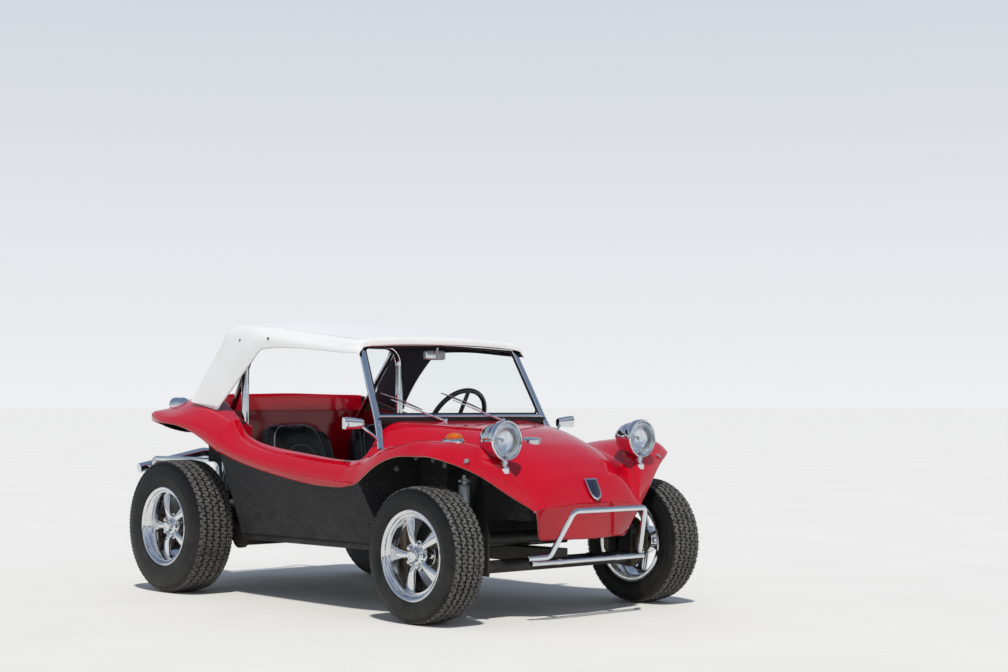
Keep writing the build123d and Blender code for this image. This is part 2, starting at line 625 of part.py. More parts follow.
def front_bumper():
    """Low front tube and the raised loop in front of the nose."""
    front = LENGTH / 2 - HOOP_RADIUS
    half = [(X_FRONT_AXLE + 320, 376, 294), (front - 95, 300, 300), (front, 236, 510)]
    loop = pipe(half + [(x, -y, z) for x, y, z in reversed(half)], HOOP_RADIUS, 34)
    low = rod((X_FRONT_AXLE + 329, -372, 270), (X_FRONT_AXLE + 329, 372, 270), 12)
    bracket = block(AXLE_STATION + 134, AXLE_STATION + 334, 180, 206, 258, 282)
    return loop, low, both(bracket)


def windshield():
    """Bright frame standing on the cowl, and its glass."""
    bottom, top = Vector(along(448), 0, 948), Vector(along(280), 0, 1279)
    up = (top - bottom).normalized()
    height = (top - bottom).length
    plane = Plane(origin=bottom, x_dir=(0, 1, 0), z_dir=Vector(0, 1, 0).cross(up))
    outer = [(575, -38), (527, height + 8), (500, height + 18), (0, height + 44)]
    outer += [(-y, b) for y, b in reversed(outer[:-1])]
    opening = [(537, 0), (497, height), (0, height + 18), (-497, height), (-537, 0)]
    leg = [(535, -20), (575, -38), (612, -190), (575, -190)]
    pane = make_face(Polyline(*opening, close=True))
    frame = extrude(plane * (make_face(Polyline(*outer, close=True)) - pane), FRAME_HALF_DEPTH, both=True)
    one_leg = extrude(plane * make_face(Polyline(*leg, close=True)), FRAME_HALF_DEPTH, both=True)
    glass = extrude(plane * pane, GLASS_HALF, both=True)
    return frame + one_leg + across(one_leg), glass


def soft_top():
    """Folding top as it stands raised: roof with its front valance, and a quarter flap; the back is open."""
    # station, then (y, z) of centre, half way, shoulder and hem
    roof = [
        (318, (0, 1303), (300, 1298), (528, 1272), (566, 1238)),
        (306, (0, 1335), (300, 1330), (530, 1307), (568, 1247)),
        (100, (0, 1366), (310, 1358), (530, 1330), (582, 1262)),
        (-150, (0, 1405), (320, 1394), (532, 1360), (592, 1283)),
        (-400, (0, 1438), (325, 1426), (532, 1391), (600, 1286)),
        (-485, (0, 1447), (325, 1435), (532, 1398), (601, 1256)),
        (-612, (0, 1457), (325, 1444), (532, 1408), (606, 1148)),
        (-728, (0, 1457), (323, 1444), (532, 1406), (625, 1034)),
        (-789, (0, 1440), (321, 1428), (540, 1384), (640, 969)),
        (-825, (0, 1394), (320, 1384), (556, 1344), (640, 975)),
        (-842, (0, 1340), (320, 1332), (578, 1314), (640, 978)),
    ]
    flap = [
        (-842, (578, 1314), (640, 978)),
        (-1020, (630, 1058), (640, 1009)),
        (-1039, (637, 1030), (640, 1013)),
    ]
    skins = []
    for rows in (roof, flap):
        sections = []
        for station, *outer in rows:
            inner = inset(outer, TOP_CLOTH)
            if rows is roof:
                inner[0] = (0, inner[0][1])
            sections.append((station, outer, inner))
        skins.append(band(sections))
    half = skins[0] + skins[1]
    return half + across(half)


def roll_bar():
    """Hoop behind the seats with two braces running back to the deck's front wall."""
    station = -690
    hoop = pipe([
        (along(station), 528, WELL_FLOOR + SKIN), (along(station), 528, 1330), (along(station), -528, 1330),
        (along(station), -528, WELL_FLOOR + SKIN),
    ], BAR_RADIUS, 110)
    brace = rod((along(station), 480, 1290), (along(-985), 440, 890), 16)
    brace = brace - block(-1100, -985, 300, 500, 800, 1000)
    return hoop + brace + across(brace)


def bucket_seat():
    """Low-backed bucket on the left: cushion, bolsters and a leaning shell back."""
    y0, y1 = 72, 528
    cushion = block(-520, -60, y0 + 20, y1 - 20, PAN_TOP + 90, PAN_TOP + 190)
    bolster = block(-520, -80, y0, y0 + 50, PAN_TOP + 112, PAN_TOP + 235)
    other = block(-520, -80, y1 - 50, y1, PAN_TOP + 112, PAN_TOP + 235)
    back = Face(Wire.make_polygon([
        Vector(along(-505), y0 + 12, PAN_TOP + 130), Vector(along(-588), y0 + 12, 905),
        Vector(along(-622), y0 + 12, 915), Vector(along(-655), y0 + 12, 890),
        Vector(along(-590), y0 + 12, PAN_TOP + 90),
    ]))
    shell = extrude(back, y1 - y0 - 24, dir=(0, 1, 0))
    base = block(-500, -90, y0 + 60, y1 - 60, PAN_TOP, PAN_TOP + 90)
    return cushion + bolster + other + shell + base


def headlamp():
    """Left lamp: round bucket on a short stem, and its lens."""
    centre = (along(1270), 451, 830)
    bucket = rod((centre[0] - 118, 451, 830), centre, 80)
    rim = rod((centre[0] - 42, 451, 830), centre, 94)
    dome = Pos(centre[0] - 84, 451, 830) * Sphere(80)
    bucket = bucket + rim + (dome - block(1270, 1500, 300, 600, 600, 1000))
    stem = rod((along(1255), 450, 712), (along(1245), 450, 790), 12)
    foot = rod((along(1255), 450, 680), (along(1254), 450, 722), 24)
    recess = rod((centre[0] - 30, 451, 830), (centre[0] + 5, 451, 830), 84)
    lens = rod((centre[0] - 30, 451, 830), (centre[0] + 4, 451, 830), 84)
    return bucket + stem + foot - recess, lens


def dash():
    """Dash panel under the cowl, with two round instruments ahead of the driver."""
    face = panel(505, 12, [(-590, 770), (590, 770), (590, 800), (480, 930), (-480, 930), (-590, 800)])
    for y in (270, 390):
        face = face + rod((along(500), y, 826), (along(480), y, 826), 44)
    return face


def wipers():
    """Two arms with their blades, parked low on the glass."""
    pieces = []
    for y in (-150, 240):
        pivot = rod((along(495), y, 880), (along(488), y, 925), 13)
        tip = (along(432), y - 375, 1010)
        arm = rod((along(490), y, 918), tip, 4)
        middle = ((along(490) + tip[0]) / 2 - 8, y - 190, 960)
        pieces.append(pivot + arm + rod(middle, (tip[0] - 6, y - 400, 1004), 4))
    return pieces


def mirrors():
    """Door mirrors on stalks from the windshield legs, and the inside mirror under the header."""
    head = Pos(along(465), 716, 907) * Rot(0, 0, -12) * Box(34, 118, 74)
    stalk = rod((along(514), 585, 818), (along(470), 700, 900), 7)
    inside = Pos(along(236), 0, 1252) * Box(20, 132, 50)
    stem = rod((along(240), 0, 1255), (along(268), 0, 1292), 6)
    return head + stalk, inside + stem


def turn_signal():
    """Left amber lamp on its bright base, on the fender's crest."""
    base = Pos(along(1060), 600, 815) * extrude(Ellipse(58, 34), 22)
    lens = Pos(along(1060), 600, 837) * extrude(Ellipse(46, 26), 20)
    return base, lens


def tail_lamp():
    """Left tail lamp: a bullet-shaped bucket on the rear quarter, its lens facing the rear."""
    nose = Pos(along(-1262), 545, 998) * Sphere(TAIL_LAMP_RADIUS)
    return nose + rod((along(-1262), 545, 998), (along(-1352), 545, 994), TAIL_LAMP_RADIUS)


def shocks():
    """Front and rear shock absorbers of the left side."""
    x = X_FRONT_AXLE
    front = rod((x + 55, 534, 665), (x + 48, 534, 430), 25)
    front = front + rod((x + 48, 534, 432), (x + 40, 534, 236), 8)
    front = front + rod((x + 54, 480, 648), (x + 54, 556, 648), 9)
    front = front + rod((x + 41, 500, 247), (x + 41, 550, 247), 13)
    y = SPRING_PLATE_Y - 51
    rear = rod((X_REAR_AXLE + 41, y, REAR_TYRE_RADIUS + 1), (along(148 - AXLE_STATION), y, WELL_FLOOR), 23)
    return front, rear


def levers():
    """Gear lever and hand brake on the tunnel."""
    gear = rod((along(-60), 0, TUNNEL_TOP), (along(-110), 0, 720), 7) + Pos(along(-110), 0, 724) * Sphere(22)
    gear = gear + rod((along(-60), 0, TUNNEL_TOP), (along(-62), 0, TUNNEL_TOP + 26), 28)
    brake = rod((along(-330), 0, TUNNEL_TOP + 20), (along(-200), 0, TUNNEL_TOP + 110), 11)
    brake = brake + block(-360, -290, -14, 14, TUNNEL_TOP, TUNNEL_TOP + 34)
    return gear, brake


def pedals():
    """Three pedals standing on the pan in the driver's footwell."""
    pieces = []
    for y in (130, 215, 300):
        pad = Pos(along(712), y, 470) * Rot(0, -35, 0) * Box(10, 58, 66)
        pieces.append(rod((along(735), y, PAN_TOP), (along(716), y, 468), 7) + pad)
    return pieces


def fuel_cap():
    """Bright round filler cap, right of the hood's centre."""
    return rod((along(1060), -105, 795), (along(1065), -105, 838), 52)


def shield_plate():
    """Blank shield-shaped badge on the nose."""
    slope = Vector(1392 - 1340, 0, 551 - 648).normalized()
    plane = Plane(origin=(along(1371), 0, 602), x_dir=(0, 1, 0), z_dir=Vector(0, 1, 0).cross(slope) * -1)
    outline = Polyline(
        (-33, 58), (33, 58), (33, -20), (20, -48), (0, -62), (-20, -48), (-33, -20), close=True)
    return extrude(plane * make_face(outline), 9, both=True)


def main():
    """Build and write every node."""
    os.makedirs("parts", exist_ok=True)

    skin = side_skin()
    shell = skin + rear_deck()
    shell = shell + across(shell)
    hood_half = hood_skin()
    hood = hood_half + across(hood_half) + nose_panel()
    hood = hood - skin - across(skin)
    body_tub = tub()
    beam = front_beam()
    pan = floor_pan() - beam
    housing = torsion_housing()
    pan = pan - housing
    write("body_shell", shell)
    write("hood", hood)
    body_tub = body_tub - pan - shell - hood
    write("tub", body_tub)
    write("floor_pan", pan)
    write("front_beam", beam)
    write("torsion_housing", housing)

    left_knuckle = knuckle()
    write("knuckle_left", left_knuckle)
    write("knuckle_right", across(left_knuckle))
    write("tie_rod_left", tie_rod(LEFT))
    write("tie_rod_right", tie_rod(RIGHT))
    write("pitman_arm", pitman_arm())
    write("steering_wheel", steering_wheel())
    column, box = steering_column()
    write("steering_column", column, box)

    front = road_wheel(FRONT_TRACK / 2, FRONT_TYRE_WIDTH, FRONT_TYRE_RADIUS, X_FRONT_AXLE, FRONT_HUB_BACK, 30)
    rear = road_wheel(REAR_TRACK / 2, REAR_TYRE_WIDTH, REAR_TYRE_RADIUS, X_REAR_AXLE, REAR_HUB_BACK, 44)
    front_tyre = tyre(FRONT_TRACK / 2, FRONT_TYRE_WIDTH, FRONT_TYRE_RADIUS, X_FRONT_AXLE)
    rear_tyre = tyre(REAR_TRACK / 2, REAR_TYRE_WIDTH, REAR_TYRE_RADIUS, X_REAR_AXLE)
    for place, wheel, rubber in (("front", front, front_tyre), ("rear", rear, rear_tyre)):
        write(f"wheel_{place}_left", wheel)
        write(f"wheel_{place}_right", across(wheel))
        write(f"tyre_{place}_left", rubber)
        write(f"tyre_{place}_right", across(rubber))

    axle, backing = rear_axle()
    gearbox = transaxle()
    write("rear_axle", both(axle - gearbox), both(backing))
    write("transaxle", gearbox - housing)
    motor = engine() - gearbox
    write("engine", motor)
    cooling = fan_shroud() - motor
    write("fan_shroud", cooling)
    write("exhaust", exhaust() - motor)
    write("rear_bumper", rear_bumper())
    loop, low, brackets = front_bumper()
    write("front_bumper", loop, low, brackets - beam)

    frame, glass = windshield()
    frame = largest(frame - hood - shell)
    write("windshield_frame", frame)
    write("windshield_glass", glass)
    write("soft_top", largest(soft_top() - shell))
    bar = roll_bar() - body_tub
    write("roll_bar", largest(bar))
    write("bucket_seats", both(bucket_seat()))
    bucket, lens = headlamp()
    write("headlamp_buckets", both(largest(bucket - shell)))
    write("headlamp_lenses", both(lens))
    write("dash", largest(dash() - hood - shell - body_tub))
    write("wipers", *[largest(wiper - hood - frame - glass) for wiper in wipers()])
    outer_mirror, inside_mirror = mirrors()
    write("mirrors", both(largest(outer_mirror - frame)), largest(inside_mirror - frame))
    base, amber = turn_signal()
    write("turn_signal_bases", both(largest(base - shell)))
    write("turn_signal_lenses", both(amber))
    write("tail_lamps", both(max((tail_lamp() - shell).solids(), key=lambda s: s.center().Z)))
    front_shock, rear_shock = shocks()
    rear_shock = rear_shock - axle - housing - body_tub
    write("shock_absorbers", both(largest(front_shock - beam)), both(largest(rear_shock)))
    write("levers", *[largest(lever - pan) for lever in levers()])
    write("pedals", *[largest(pedal - pan) for pedal in pedals()])
    write("fuel_cap", max((fuel_cap() - hood).solids(), key=lambda s: s.center().Z))
    write("shield_plate", max((shield_plate() - hood).solids(), key=lambda s: s.center().X))


if __name__ == "__main__":
    main()
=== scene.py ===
"""Looks of the open two-seat dune buggy: paint, vinyl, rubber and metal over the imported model.

Frame: metres, +X forward, +Y to the car's left, +Z up, origin on the ground under the car's middle.
Points that at() places are in millimetres, with stations measured from the middle of the wheelbase.
"""

from __future__ import annotations

import logging
import math
from dataclasses import dataclass
from enum import Enum
from typing import Callable, Hashable, Iterable, Sequence

import bmesh
import bpy
from mathutils import Matrix, Vector
from mathutils.bvhtree import BVHTree


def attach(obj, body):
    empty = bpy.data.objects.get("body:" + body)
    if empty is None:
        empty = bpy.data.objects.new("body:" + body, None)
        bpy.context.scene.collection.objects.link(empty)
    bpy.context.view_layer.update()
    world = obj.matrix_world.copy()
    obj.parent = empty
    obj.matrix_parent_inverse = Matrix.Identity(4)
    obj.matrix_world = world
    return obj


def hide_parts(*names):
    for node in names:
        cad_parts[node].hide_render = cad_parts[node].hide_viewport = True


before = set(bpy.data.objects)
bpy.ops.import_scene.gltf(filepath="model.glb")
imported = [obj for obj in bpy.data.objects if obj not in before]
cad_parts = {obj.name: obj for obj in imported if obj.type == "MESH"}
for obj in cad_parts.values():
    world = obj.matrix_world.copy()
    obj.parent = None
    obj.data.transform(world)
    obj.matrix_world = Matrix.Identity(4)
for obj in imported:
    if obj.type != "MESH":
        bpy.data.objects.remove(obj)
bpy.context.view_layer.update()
LOG = logging.getLogger("buggy")

# how far the middle of the wheelbase lies ahead of the origin
MIDDLE = 0.115
FULL_TURN = 2 * math.pi
AHEAD, BACK = Vector((1, 0, 0)), Vector((-1, 0, 0))
LEFT, UP = Vector((0, 1, 0)), Vector((0, 0, 1))
# points nearer than this are one point
WELD = 1e-6
SIDES = ((1, "left"), (-1, "right"))
Colour = tuple[float, float, float, float]
Screen = tuple[int, int, int]
Socket = bpy.types.NodeSocket
Profile = Sequence[tuple[float, float]]
SectionTable = Sequence[tuple[float, Sequence[tuple[float, float]]]]


def at(station: float, y: float, z: float) -> Vector:
    """A point of the row frame from millimetres measured at the middle of the wheelbase."""
    return Vector((station / 1000 + MIDDLE, y / 1000, z / 1000))


def colour(red: int, green: int, blue: int) -> Colour:
    """A scene-linear colour from the eight-bit values that a screen shows.

    Args:
        red: red, 0 to 255.
        green: green, 0 to 255.
        blue: blue, 0 to 255.

    Returns:
        The linear colour with full alpha.
    """
    linear = [(c / 255 / 12.92) if c <= 10 else ((c / 255 + 0.055) / 1.055) ** 2.4
              for c in (red, green, blue)]
    return (linear[0], linear[1], linear[2], 1.0)


def once(items: Iterable[Hashable]) -> list:
    """Each item once, in the order it first comes."""
    return list(dict.fromkeys(items))


# Surface effects


class Effect(Enum):
    """The shared effects, each one node group."""

    SPECKLE = "speckle"
    GRAIN = "grain"
    RIPPLE = "ripple"
    BRUSH = "brush"
    DUST = "dust"
    WEAR = "wear"


class Graph:
    """A node tree with short calls that add its nodes and join them."""

    def __init__(self, tree: bpy.types.NodeTree) -> None:
        """Args: tree: the node tree of a material, a world or a group."""
        self.tree = tree

    def put(self, socket: Socket, value: object) -> None:
        """Join a socket to another, or give it a value.

        Args:
            socket: the input to fill.
            value: a socket, a value, or None to leave the input as it is.
        """
        if isinstance(value, bpy.types.NodeSocket):
            self.tree.links.new(value, socket)
        elif value is not None:
            socket.default_value = value

    def add(self, kind: str, settings: dict[str, object] | None = None, **inputs: object) -> bpy.types.Node:
        """Add one node.

        Args:
            kind: the node's type without its first word.
            settings: properties of the node itself.
            inputs: values or sockets by input name, with _ for a space.

        Returns:
            The new node.
        """
        made = self.tree.nodes.new(f"ShaderNode{kind}")
        for key, value in (settings or {}).items():
            setattr(made, key, value)
        for key, value in inputs.items():
            self.put(made.inputs[key.replace("_", " ")], value)
        return made

    def math(self, operation: str, first: object, second: object = 0.0, clamp: bool = False) -> Socket:
        """The result of one sum on two numbers.

        Args:
            operation: the node's name for the sum.
            first: a number or a socket.
            second: a number or a socket.
            clamp: whether the result stays between 0 and 1.

        Returns:
            The result's socket.
        """
        made = self.tree.nodes.new("ShaderNodeMath")
        made.operation, made.use_clamp = operation, clamp
        self.put(made.inputs[0], first)
        self.put(made.inputs[1], second)
        return made.outputs[0]

    def mix(self, share: object, first: object, second: object) -> Socket:
        """A colour between two colours.

        Args:
            share: how much of the second colour, from 0 to 1.
            first: a colour or a socket.
            second: a colour or a socket.

        Returns:
            The mixed colour's socket.
        """
        made = self.tree.nodes.new("ShaderNodeMix")
        made.data_type = "RGBA"
        for index, value in ((0, share), (6, first), (7, second)):
            self.put(made.inputs[index], value)
        return made.outputs[2]

    def between(self, share: object, low: float, high: float) -> Socket:
        """A number from low to high as the share goes from 0 to 1."""
        return self.add("MapRange", None, Value=share, To_Min=low, To_Max=high).outputs[0]

    def noise(self, place: Socket, scale: object, **inputs: object) -> Socket:
        """A noise pattern's value at a place."""
        return self.add("TexNoise", None, Vector=place, Scale=scale, **inputs).outputs[0]


def effect(kind: Effect) -> bpy.types.NodeTree:
    """The node group of an effect, built at its first use.

    Args:
        kind: which effect.

    Returns:
        The group, with named inputs and outputs.
    """
    found = bpy.data.node_groups.get(kind.value)
    if found:
        return found
    tree = bpy.data.node_groups.new(kind.value, "ShaderNodeTree")
    inputs, output = {
        Effect.SPECKLE: ((("Scale", 20.0), ("Contrast", 2.0)), "Mask"),
        Effect.GRAIN: ((("Scale", 400.0),), "Height"),
        Effect.RIPPLE: ((("Scale", 4.0),), "Height"),
        Effect.BRUSH: ((("Scale", 60.0),), "Height"),
        Effect.DUST: ((("Line", 0.4), ("Amount", 0.3)), "Mask"),
        Effect.WEAR: ((("Scale", 30.0), ("Amount", 0.5)), "Mask"),
    }[kind]
    for name, default in inputs:
        socket = tree.interface.new_socket(name, in_out="INPUT", socket_type="NodeSocketFloat")
        socket.default_value = default
    tree.interface.new_socket(output, in_out="OUTPUT", socket_type="NodeSocketFloat")
    g = Graph(tree)
    source, sink = tree.nodes.new("NodeGroupInput").outputs, tree.nodes.new("NodeGroupOutput")
    place = g.add("TexCoord").outputs["Object"]
    if kind is Effect.SPECKLE:
        centred = g.math("SUBTRACT", g.noise(place, source["Scale"], Detail=5.0, Roughness=0.6), 0.5)
        result = g.math("ADD", g.math("MULTIPLY", centred, source["Contrast"]), 0.5, clamp=True)
    elif kind is Effect.GRAIN:
        cells = g.add("TexVoronoi", {"feature": "SMOOTH_F1"}, Vector=place, Scale=source["Scale"],
                      Smoothness=0.7)
        fine = g.noise(place, g.math("MULTIPLY", source["Scale"], 1.7), Detail=3.0)
        result = g.math("ADD", g.math("MULTIPLY", cells.outputs[0], -0.8), g.math("MULTIPLY", fine, 0.5))
    elif kind is Effect.RIPPLE:
        result = g.noise(place, source["Scale"], Detail=1.5, Distortion=0.6)
    elif kind is Effect.BRUSH:
        drawn = g.add("Mapping", None, Vector=place, Scale=(0.15, 3.0, 3.0)).outputs[0]
        result = g.noise(drawn, source["Scale"], Detail=4.0)
    elif kind is Effect.DUST:
        height = g.add("SeparateXYZ", None, Vector=place).outputs[2]
        low = g.math("DIVIDE", g.math("SUBTRACT", source["Line"], height), source["Line"], clamp=True)
        patch = g.noise(place, 9.0, Detail=6.0, Roughness=0.7)
        cloud = g.math("MULTIPLY", g.math("SUBTRACT", patch, 0.32, clamp=True), 3.0, clamp=True)
        result = g.math("MULTIPLY", g.math("MULTIPLY", low, cloud), source["Amount"], clamp=True)
    else:
        sharpness = g.math("SUBTRACT", g.add("NewGeometry").outputs["Pointiness"], 0.53)
        edge = g.math("MULTIPLY", sharpness, 12.0, clamp=True)
        patch = g.noise(place, source["Scale"], Detail=4.0)
        result = g.math("MULTIPLY", g.math("MULTIPLY", edge, patch), source["Amount"], clamp=True)
    tree.links.new(result, sink.inputs[output])
    return tree


@dataclass(frozen=True)
class Finish:
    """A surface: its two colours as a screen shows them, its gloss and the relief under a fingertip."""

    name: str
    base: Screen
    second: Screen
    # how fine the patches of the second colour are, and how hard their edges
    speckle: float
    contrast: float
    # roughness in the first colour and in the second
    gloss: tuple[float, float]
    # effect, its scale, and its depth in metres
    relief: tuple[Effect, float, float] | None = None
    metal: float = 0.0
    coat: float = 0.0
    shine: float = 0.5
    # how much dust lies on it, and the height in metres at which it ends
    dust: tuple[float, float] | None = None
    worn: Screen | None = None

    def shared(self, g: Graph, kind: Effect, **values: float) -> Socket:
        """The output of one shared effect, placed in this material.

        Args:
            g: the material's graph.
            kind: which effect.
            values: the group's inputs by name.

        Returns:
            The effect's socket.
        """
        made = g.tree.nodes.new("ShaderNodeGroup")
        made.node_tree = effect(kind)
        for key, value in values.items():
            made.inputs[key].default_value = value
        return made.outputs[0]

    def material(self) -> bpy.types.Material:
        """Make this finish's material, or find it where it was made before.

        Returns:
            The material.
        """
        found = bpy.data.materials.get(f"look_{self.name}")
        if found:
            return found
        made = bpy.data.materials.new(f"look_{self.name}")
        made.use_nodes = True
        made.diffuse_color = colour(*self.base)
        g = Graph(made.node_tree)
        shader = made.node_tree.nodes["Principled BSDF"]
        mask = self.shared(g, Effect.SPECKLE, Scale=self.speckle, Contrast=self.contrast)
        tone = g.mix(mask, colour(*self.base), colour(*self.second))
        rough = g.between(mask, *self.gloss)
        if self.worn:
            bare = self.shared(g, Effect.WEAR, Scale=40.0, Amount=0.8)
            tone = g.mix(bare, tone, colour(*self.worn))
        if self.dust:
            amount, line = self.dust
            film = self.shared(g, Effect.DUST, Line=line, Amount=amount)
            tone = g.mix(film, tone, colour(214, 208, 196))
            rough = g.math("ADD", rough, g.math("MULTIPLY", film, 0.5), clamp=True)
        g.put(shader.inputs["Base Color"], tone)
        g.put(shader.inputs["Roughness"], rough)
        for name, value in (("Metallic", self.metal), ("Specular IOR Level", self.shine),
                            ("Coat Weight", self.coat), ("Coat Roughness", 0.04)):
            shader.inputs[name].default_value = value
        if self.relief:
            kind, scale, depth = self.relief
            bump = g.add("Bump", None, Height=self.shared(g, kind, Scale=scale), Distance=depth,
                         Strength=1.0)
            g.put(shader.inputs["Normal"], bump.outputs[0])
        self.extra(g, shader)
        return made

    def extra(self, g: Graph, shader: bpy.types.Node) -> None:
        """What a special finish adds; nothing on a plain one."""


@dataclass(frozen=True)
class ClearFinish(Finish):
    """Glass, clear vinyl or a coloured lens, which light goes through."""

    through: float = 1.0
    bend: float = 1.45
    flutes: float = 0.0
    flute_depth: float = 0.0012

    def extra(self, g: Graph, shader: bpy.types.Node) -> None:
        """Let light through, and press flutes into a lens.

        Args:
            g: the material's graph.
            shader: its shader.
        """
        shader.inputs["Transmission Weight"].default_value = self.through
        shader.inputs["IOR"].default_value = self.bend
        if self.flutes:
            place = g.add("TexCoord").outputs["Object"]
            wave = g.add("TexWave", {"bands_direction": "Y"}, Vector=place, Scale=self.flutes,
                         Distortion=0.0)
            bump = g.add("Bump", None, Height=wave.outputs["Fac"], Distance=self.flute_depth, Strength=0.7)
            g.put(shader.inputs["Normal"], bump.outputs[0])


class Paint:
    """Every finish of the car, by name."""

    RED = Finish(
        "gloss_red", (186, 8, 34), (176, 6, 28), 3.0, 1.2, (0.07, 0.11),
        relief=(Effect.RIPPLE, 55.0, 0.00015), dust=(0.03, 0.7))
    UNDERSIDE = Finish(
        "dark_underside", (16, 16, 17), (32, 32, 33), 160.0, 3.0, (0.75, 0.95), shine=0.15,
        relief=(Effect.GRAIN, 260.0, 0.0012), dust=(0.06, 0.8))
    RAW_EDGE = Finish(
        "raw_edge", (196, 150, 140), (160, 90, 84), 60.0, 2.0, (0.5, 0.7),
        relief=(Effect.GRAIN, 200.0, 0.0004))
    TUB = Finish(
        "textured_black", (20, 20, 22), (66, 66, 68), 110.0, 2.8, (0.66, 0.92), shine=0.2,
        relief=(Effect.GRAIN, 210.0, 0.0014), dust=(0.07, 0.7))
    FRAME = Finish(
        "satin_black", (9, 9, 10), (22, 22, 23), 26.0, 1.6, (0.34, 0.6), shine=0.3,
        relief=(Effect.GRAIN, 500.0, 0.0002), dust=(0.1, 0.5), worn=(80, 77, 74))
    CAST = Finish(
        "cast_alloy", (118, 118, 116), (82, 82, 80), 40.0, 2.0, (0.45, 0.65), metal=0.75,
        relief=(Effect.GRAIN, 350.0, 0.0007), dust=(0.25, 0.6))
    STEEL = Finish(
        "plain_steel", (150, 150, 150), (112, 112, 112), 60.0, 2.0, (0.28, 0.42), metal=1.0,
        relief=(Effect.BRUSH, 90.0, 0.0002))
    CHROME = Finish(
        "bright_plate", (226, 229, 232), (214, 218, 222), 7.0, 1.6, (0.035, 0.09), metal=1.0,
        relief=(Effect.RIPPLE, 26.0, 0.00008))
    ALLOY = Finish(
        "polished_alloy", (232, 233, 234), (212, 214, 217), 9.0, 1.8, (0.07, 0.15), metal=1.0,
        relief=(Effect.BRUSH, 30.0, 0.0002), dust=(0.1, 0.5))
    RUBBER = Finish(
        "tyre_wall", (15, 15, 16), (25, 25, 26), 7.0, 1.8, (0.4, 0.54), shine=0.25,
        relief=(Effect.GRAIN, 900.0, 0.0001), dust=(0.05, 0.6))
    TREAD = Finish(
        "tyre_tread", (40, 40, 40), (116, 114, 110), 85.0, 3.0, (0.6, 0.9), shine=0.2,
        relief=(Effect.GRAIN, 420.0, 0.0006))
    SEAL = Finish(
        "black_rubber", (17, 17, 18), (28, 28, 28), 20.0, 1.5, (0.55, 0.75),
        relief=(Effect.GRAIN, 800.0, 0.0002))
    GRIP = Finish(
        "moulded_grip", (22, 22, 24), (40, 40, 42), 18.0, 1.4, (0.3, 0.42),
        relief=(Effect.GRAIN, 600.0, 0.0004))
    VINYL = Finish(
        "white_vinyl", (228, 228, 226), (219, 219, 216), 5.0, 1.5, (0.48, 0.62),
        relief=(Effect.GRAIN, 520.0, 0.00035))
    LINING = Finish(
        "top_lining", (38, 36, 44), (52, 49, 58), 12.0, 1.5, (0.8, 0.95),
        relief=(Effect.GRAIN, 700.0, 0.0004))
    SEAT = Finish(
        "black_vinyl", (16, 16, 17), (26, 26, 27), 9.0, 1.5, (0.33, 0.5),
        relief=(Effect.GRAIN, 330.0, 0.0006))
    PIPING = Finish(
        "light_piping", (150, 150, 150), (120, 120, 120), 40.0, 1.5, (0.4, 0.55),
        relief=(Effect.GRAIN, 700.0, 0.0002))
    SILVER = Finish(
        "silver_paint", (176, 178, 180), (160, 162, 165), 30.0, 1.5, (0.3, 0.42), metal=0.5,
        relief=(Effect.RIPPLE, 60.0, 0.0001), dust=(0.12, 0.7))
    BADGE = Finish(
        "dark_enamel", (20, 24, 40), (30, 36, 56), 20.0, 1.4, (0.12, 0.2), coat=0.8,
        relief=(Effect.RIPPLE, 80.0, 0.0002))
    DISC = Finish(
        "brake_disc", (140, 128, 112), (104, 92, 78), 24.0, 2.0, (0.3, 0.5), metal=0.9,
        relief=(Effect.BRUSH, 80.0, 0.0003))
    DIAL = Finish(
        "dial_face", (12, 12, 13), (20, 20, 20), 30.0, 1.3, (0.5, 0.6),
        relief=(Effect.GRAIN, 900.0, 0.0001))
    IVORY = Finish(
        "ivory_print", (228, 224, 208), (214, 208, 190), 60.0, 1.3, (0.5, 0.6),
        relief=(Effect.GRAIN, 900.0, 0.0001))
    MIRROR = Finish("mirror_face", (236, 238, 240), (230, 232, 235), 4.0, 1.2, (0.02, 0.03), metal=1.0)
    GLASS = ClearFinish("clear_glass", (250, 252, 252), (247, 250, 250), 3.0, 1.2, (0.0, 0.004), bend=1.12)
    REFLECTOR = Finish(
        "lamp_reflector", (240, 242, 245), (232, 235, 240), 8.0, 1.3, (0.24, 0.32), metal=1.0)
    LENS = ClearFinish(
        "fluted_lens", (252, 253, 254), (247, 250, 252), 6.0, 1.2, (0.0, 0.02), bend=1.18, flutes=22.0,
        flute_depth=0.0003)
    AMBER = ClearFinish(
        "amber_lens", (255, 138, 10), (246, 112, 4), 20.0, 1.4, (0.05, 0.12), through=0.5, flutes=60.0)
    RUBY = ClearFinish(
        "ruby_lens", (190, 16, 20), (150, 8, 12), 20.0, 1.4, (0.05, 0.12), through=0.6, flutes=60.0)
    SALT = Finish(
        "pale_floor", (229, 226, 219), (219, 216, 209), 0.9, 1.3, (0.85, 0.95),
        relief=(Effect.RIPPLE, 14.0, 0.003))


# Mesh tools


def placed(centre: Vector, z_axis: Vector, x_hint: Vector | None = None) -> Matrix:
    """A frame whose origin is centre and whose Z runs along z_axis.

    Args:
        centre: the origin.
        z_axis: the direction of Z.
        x_hint: a direction that X is to lie near.

    Returns:
        The frame as a matrix.
    """
    z = z_axis.normalized()
    hint = x_hint if x_hint is not None else (AHEAD if abs(z.x) < 0.9 else LEFT)
    y = z.cross(hint).normalized()
    x = y.cross(z)
    turned = Matrix((x, y, z)).transposed().to_4x4()
    turned.translation = centre
    return turned


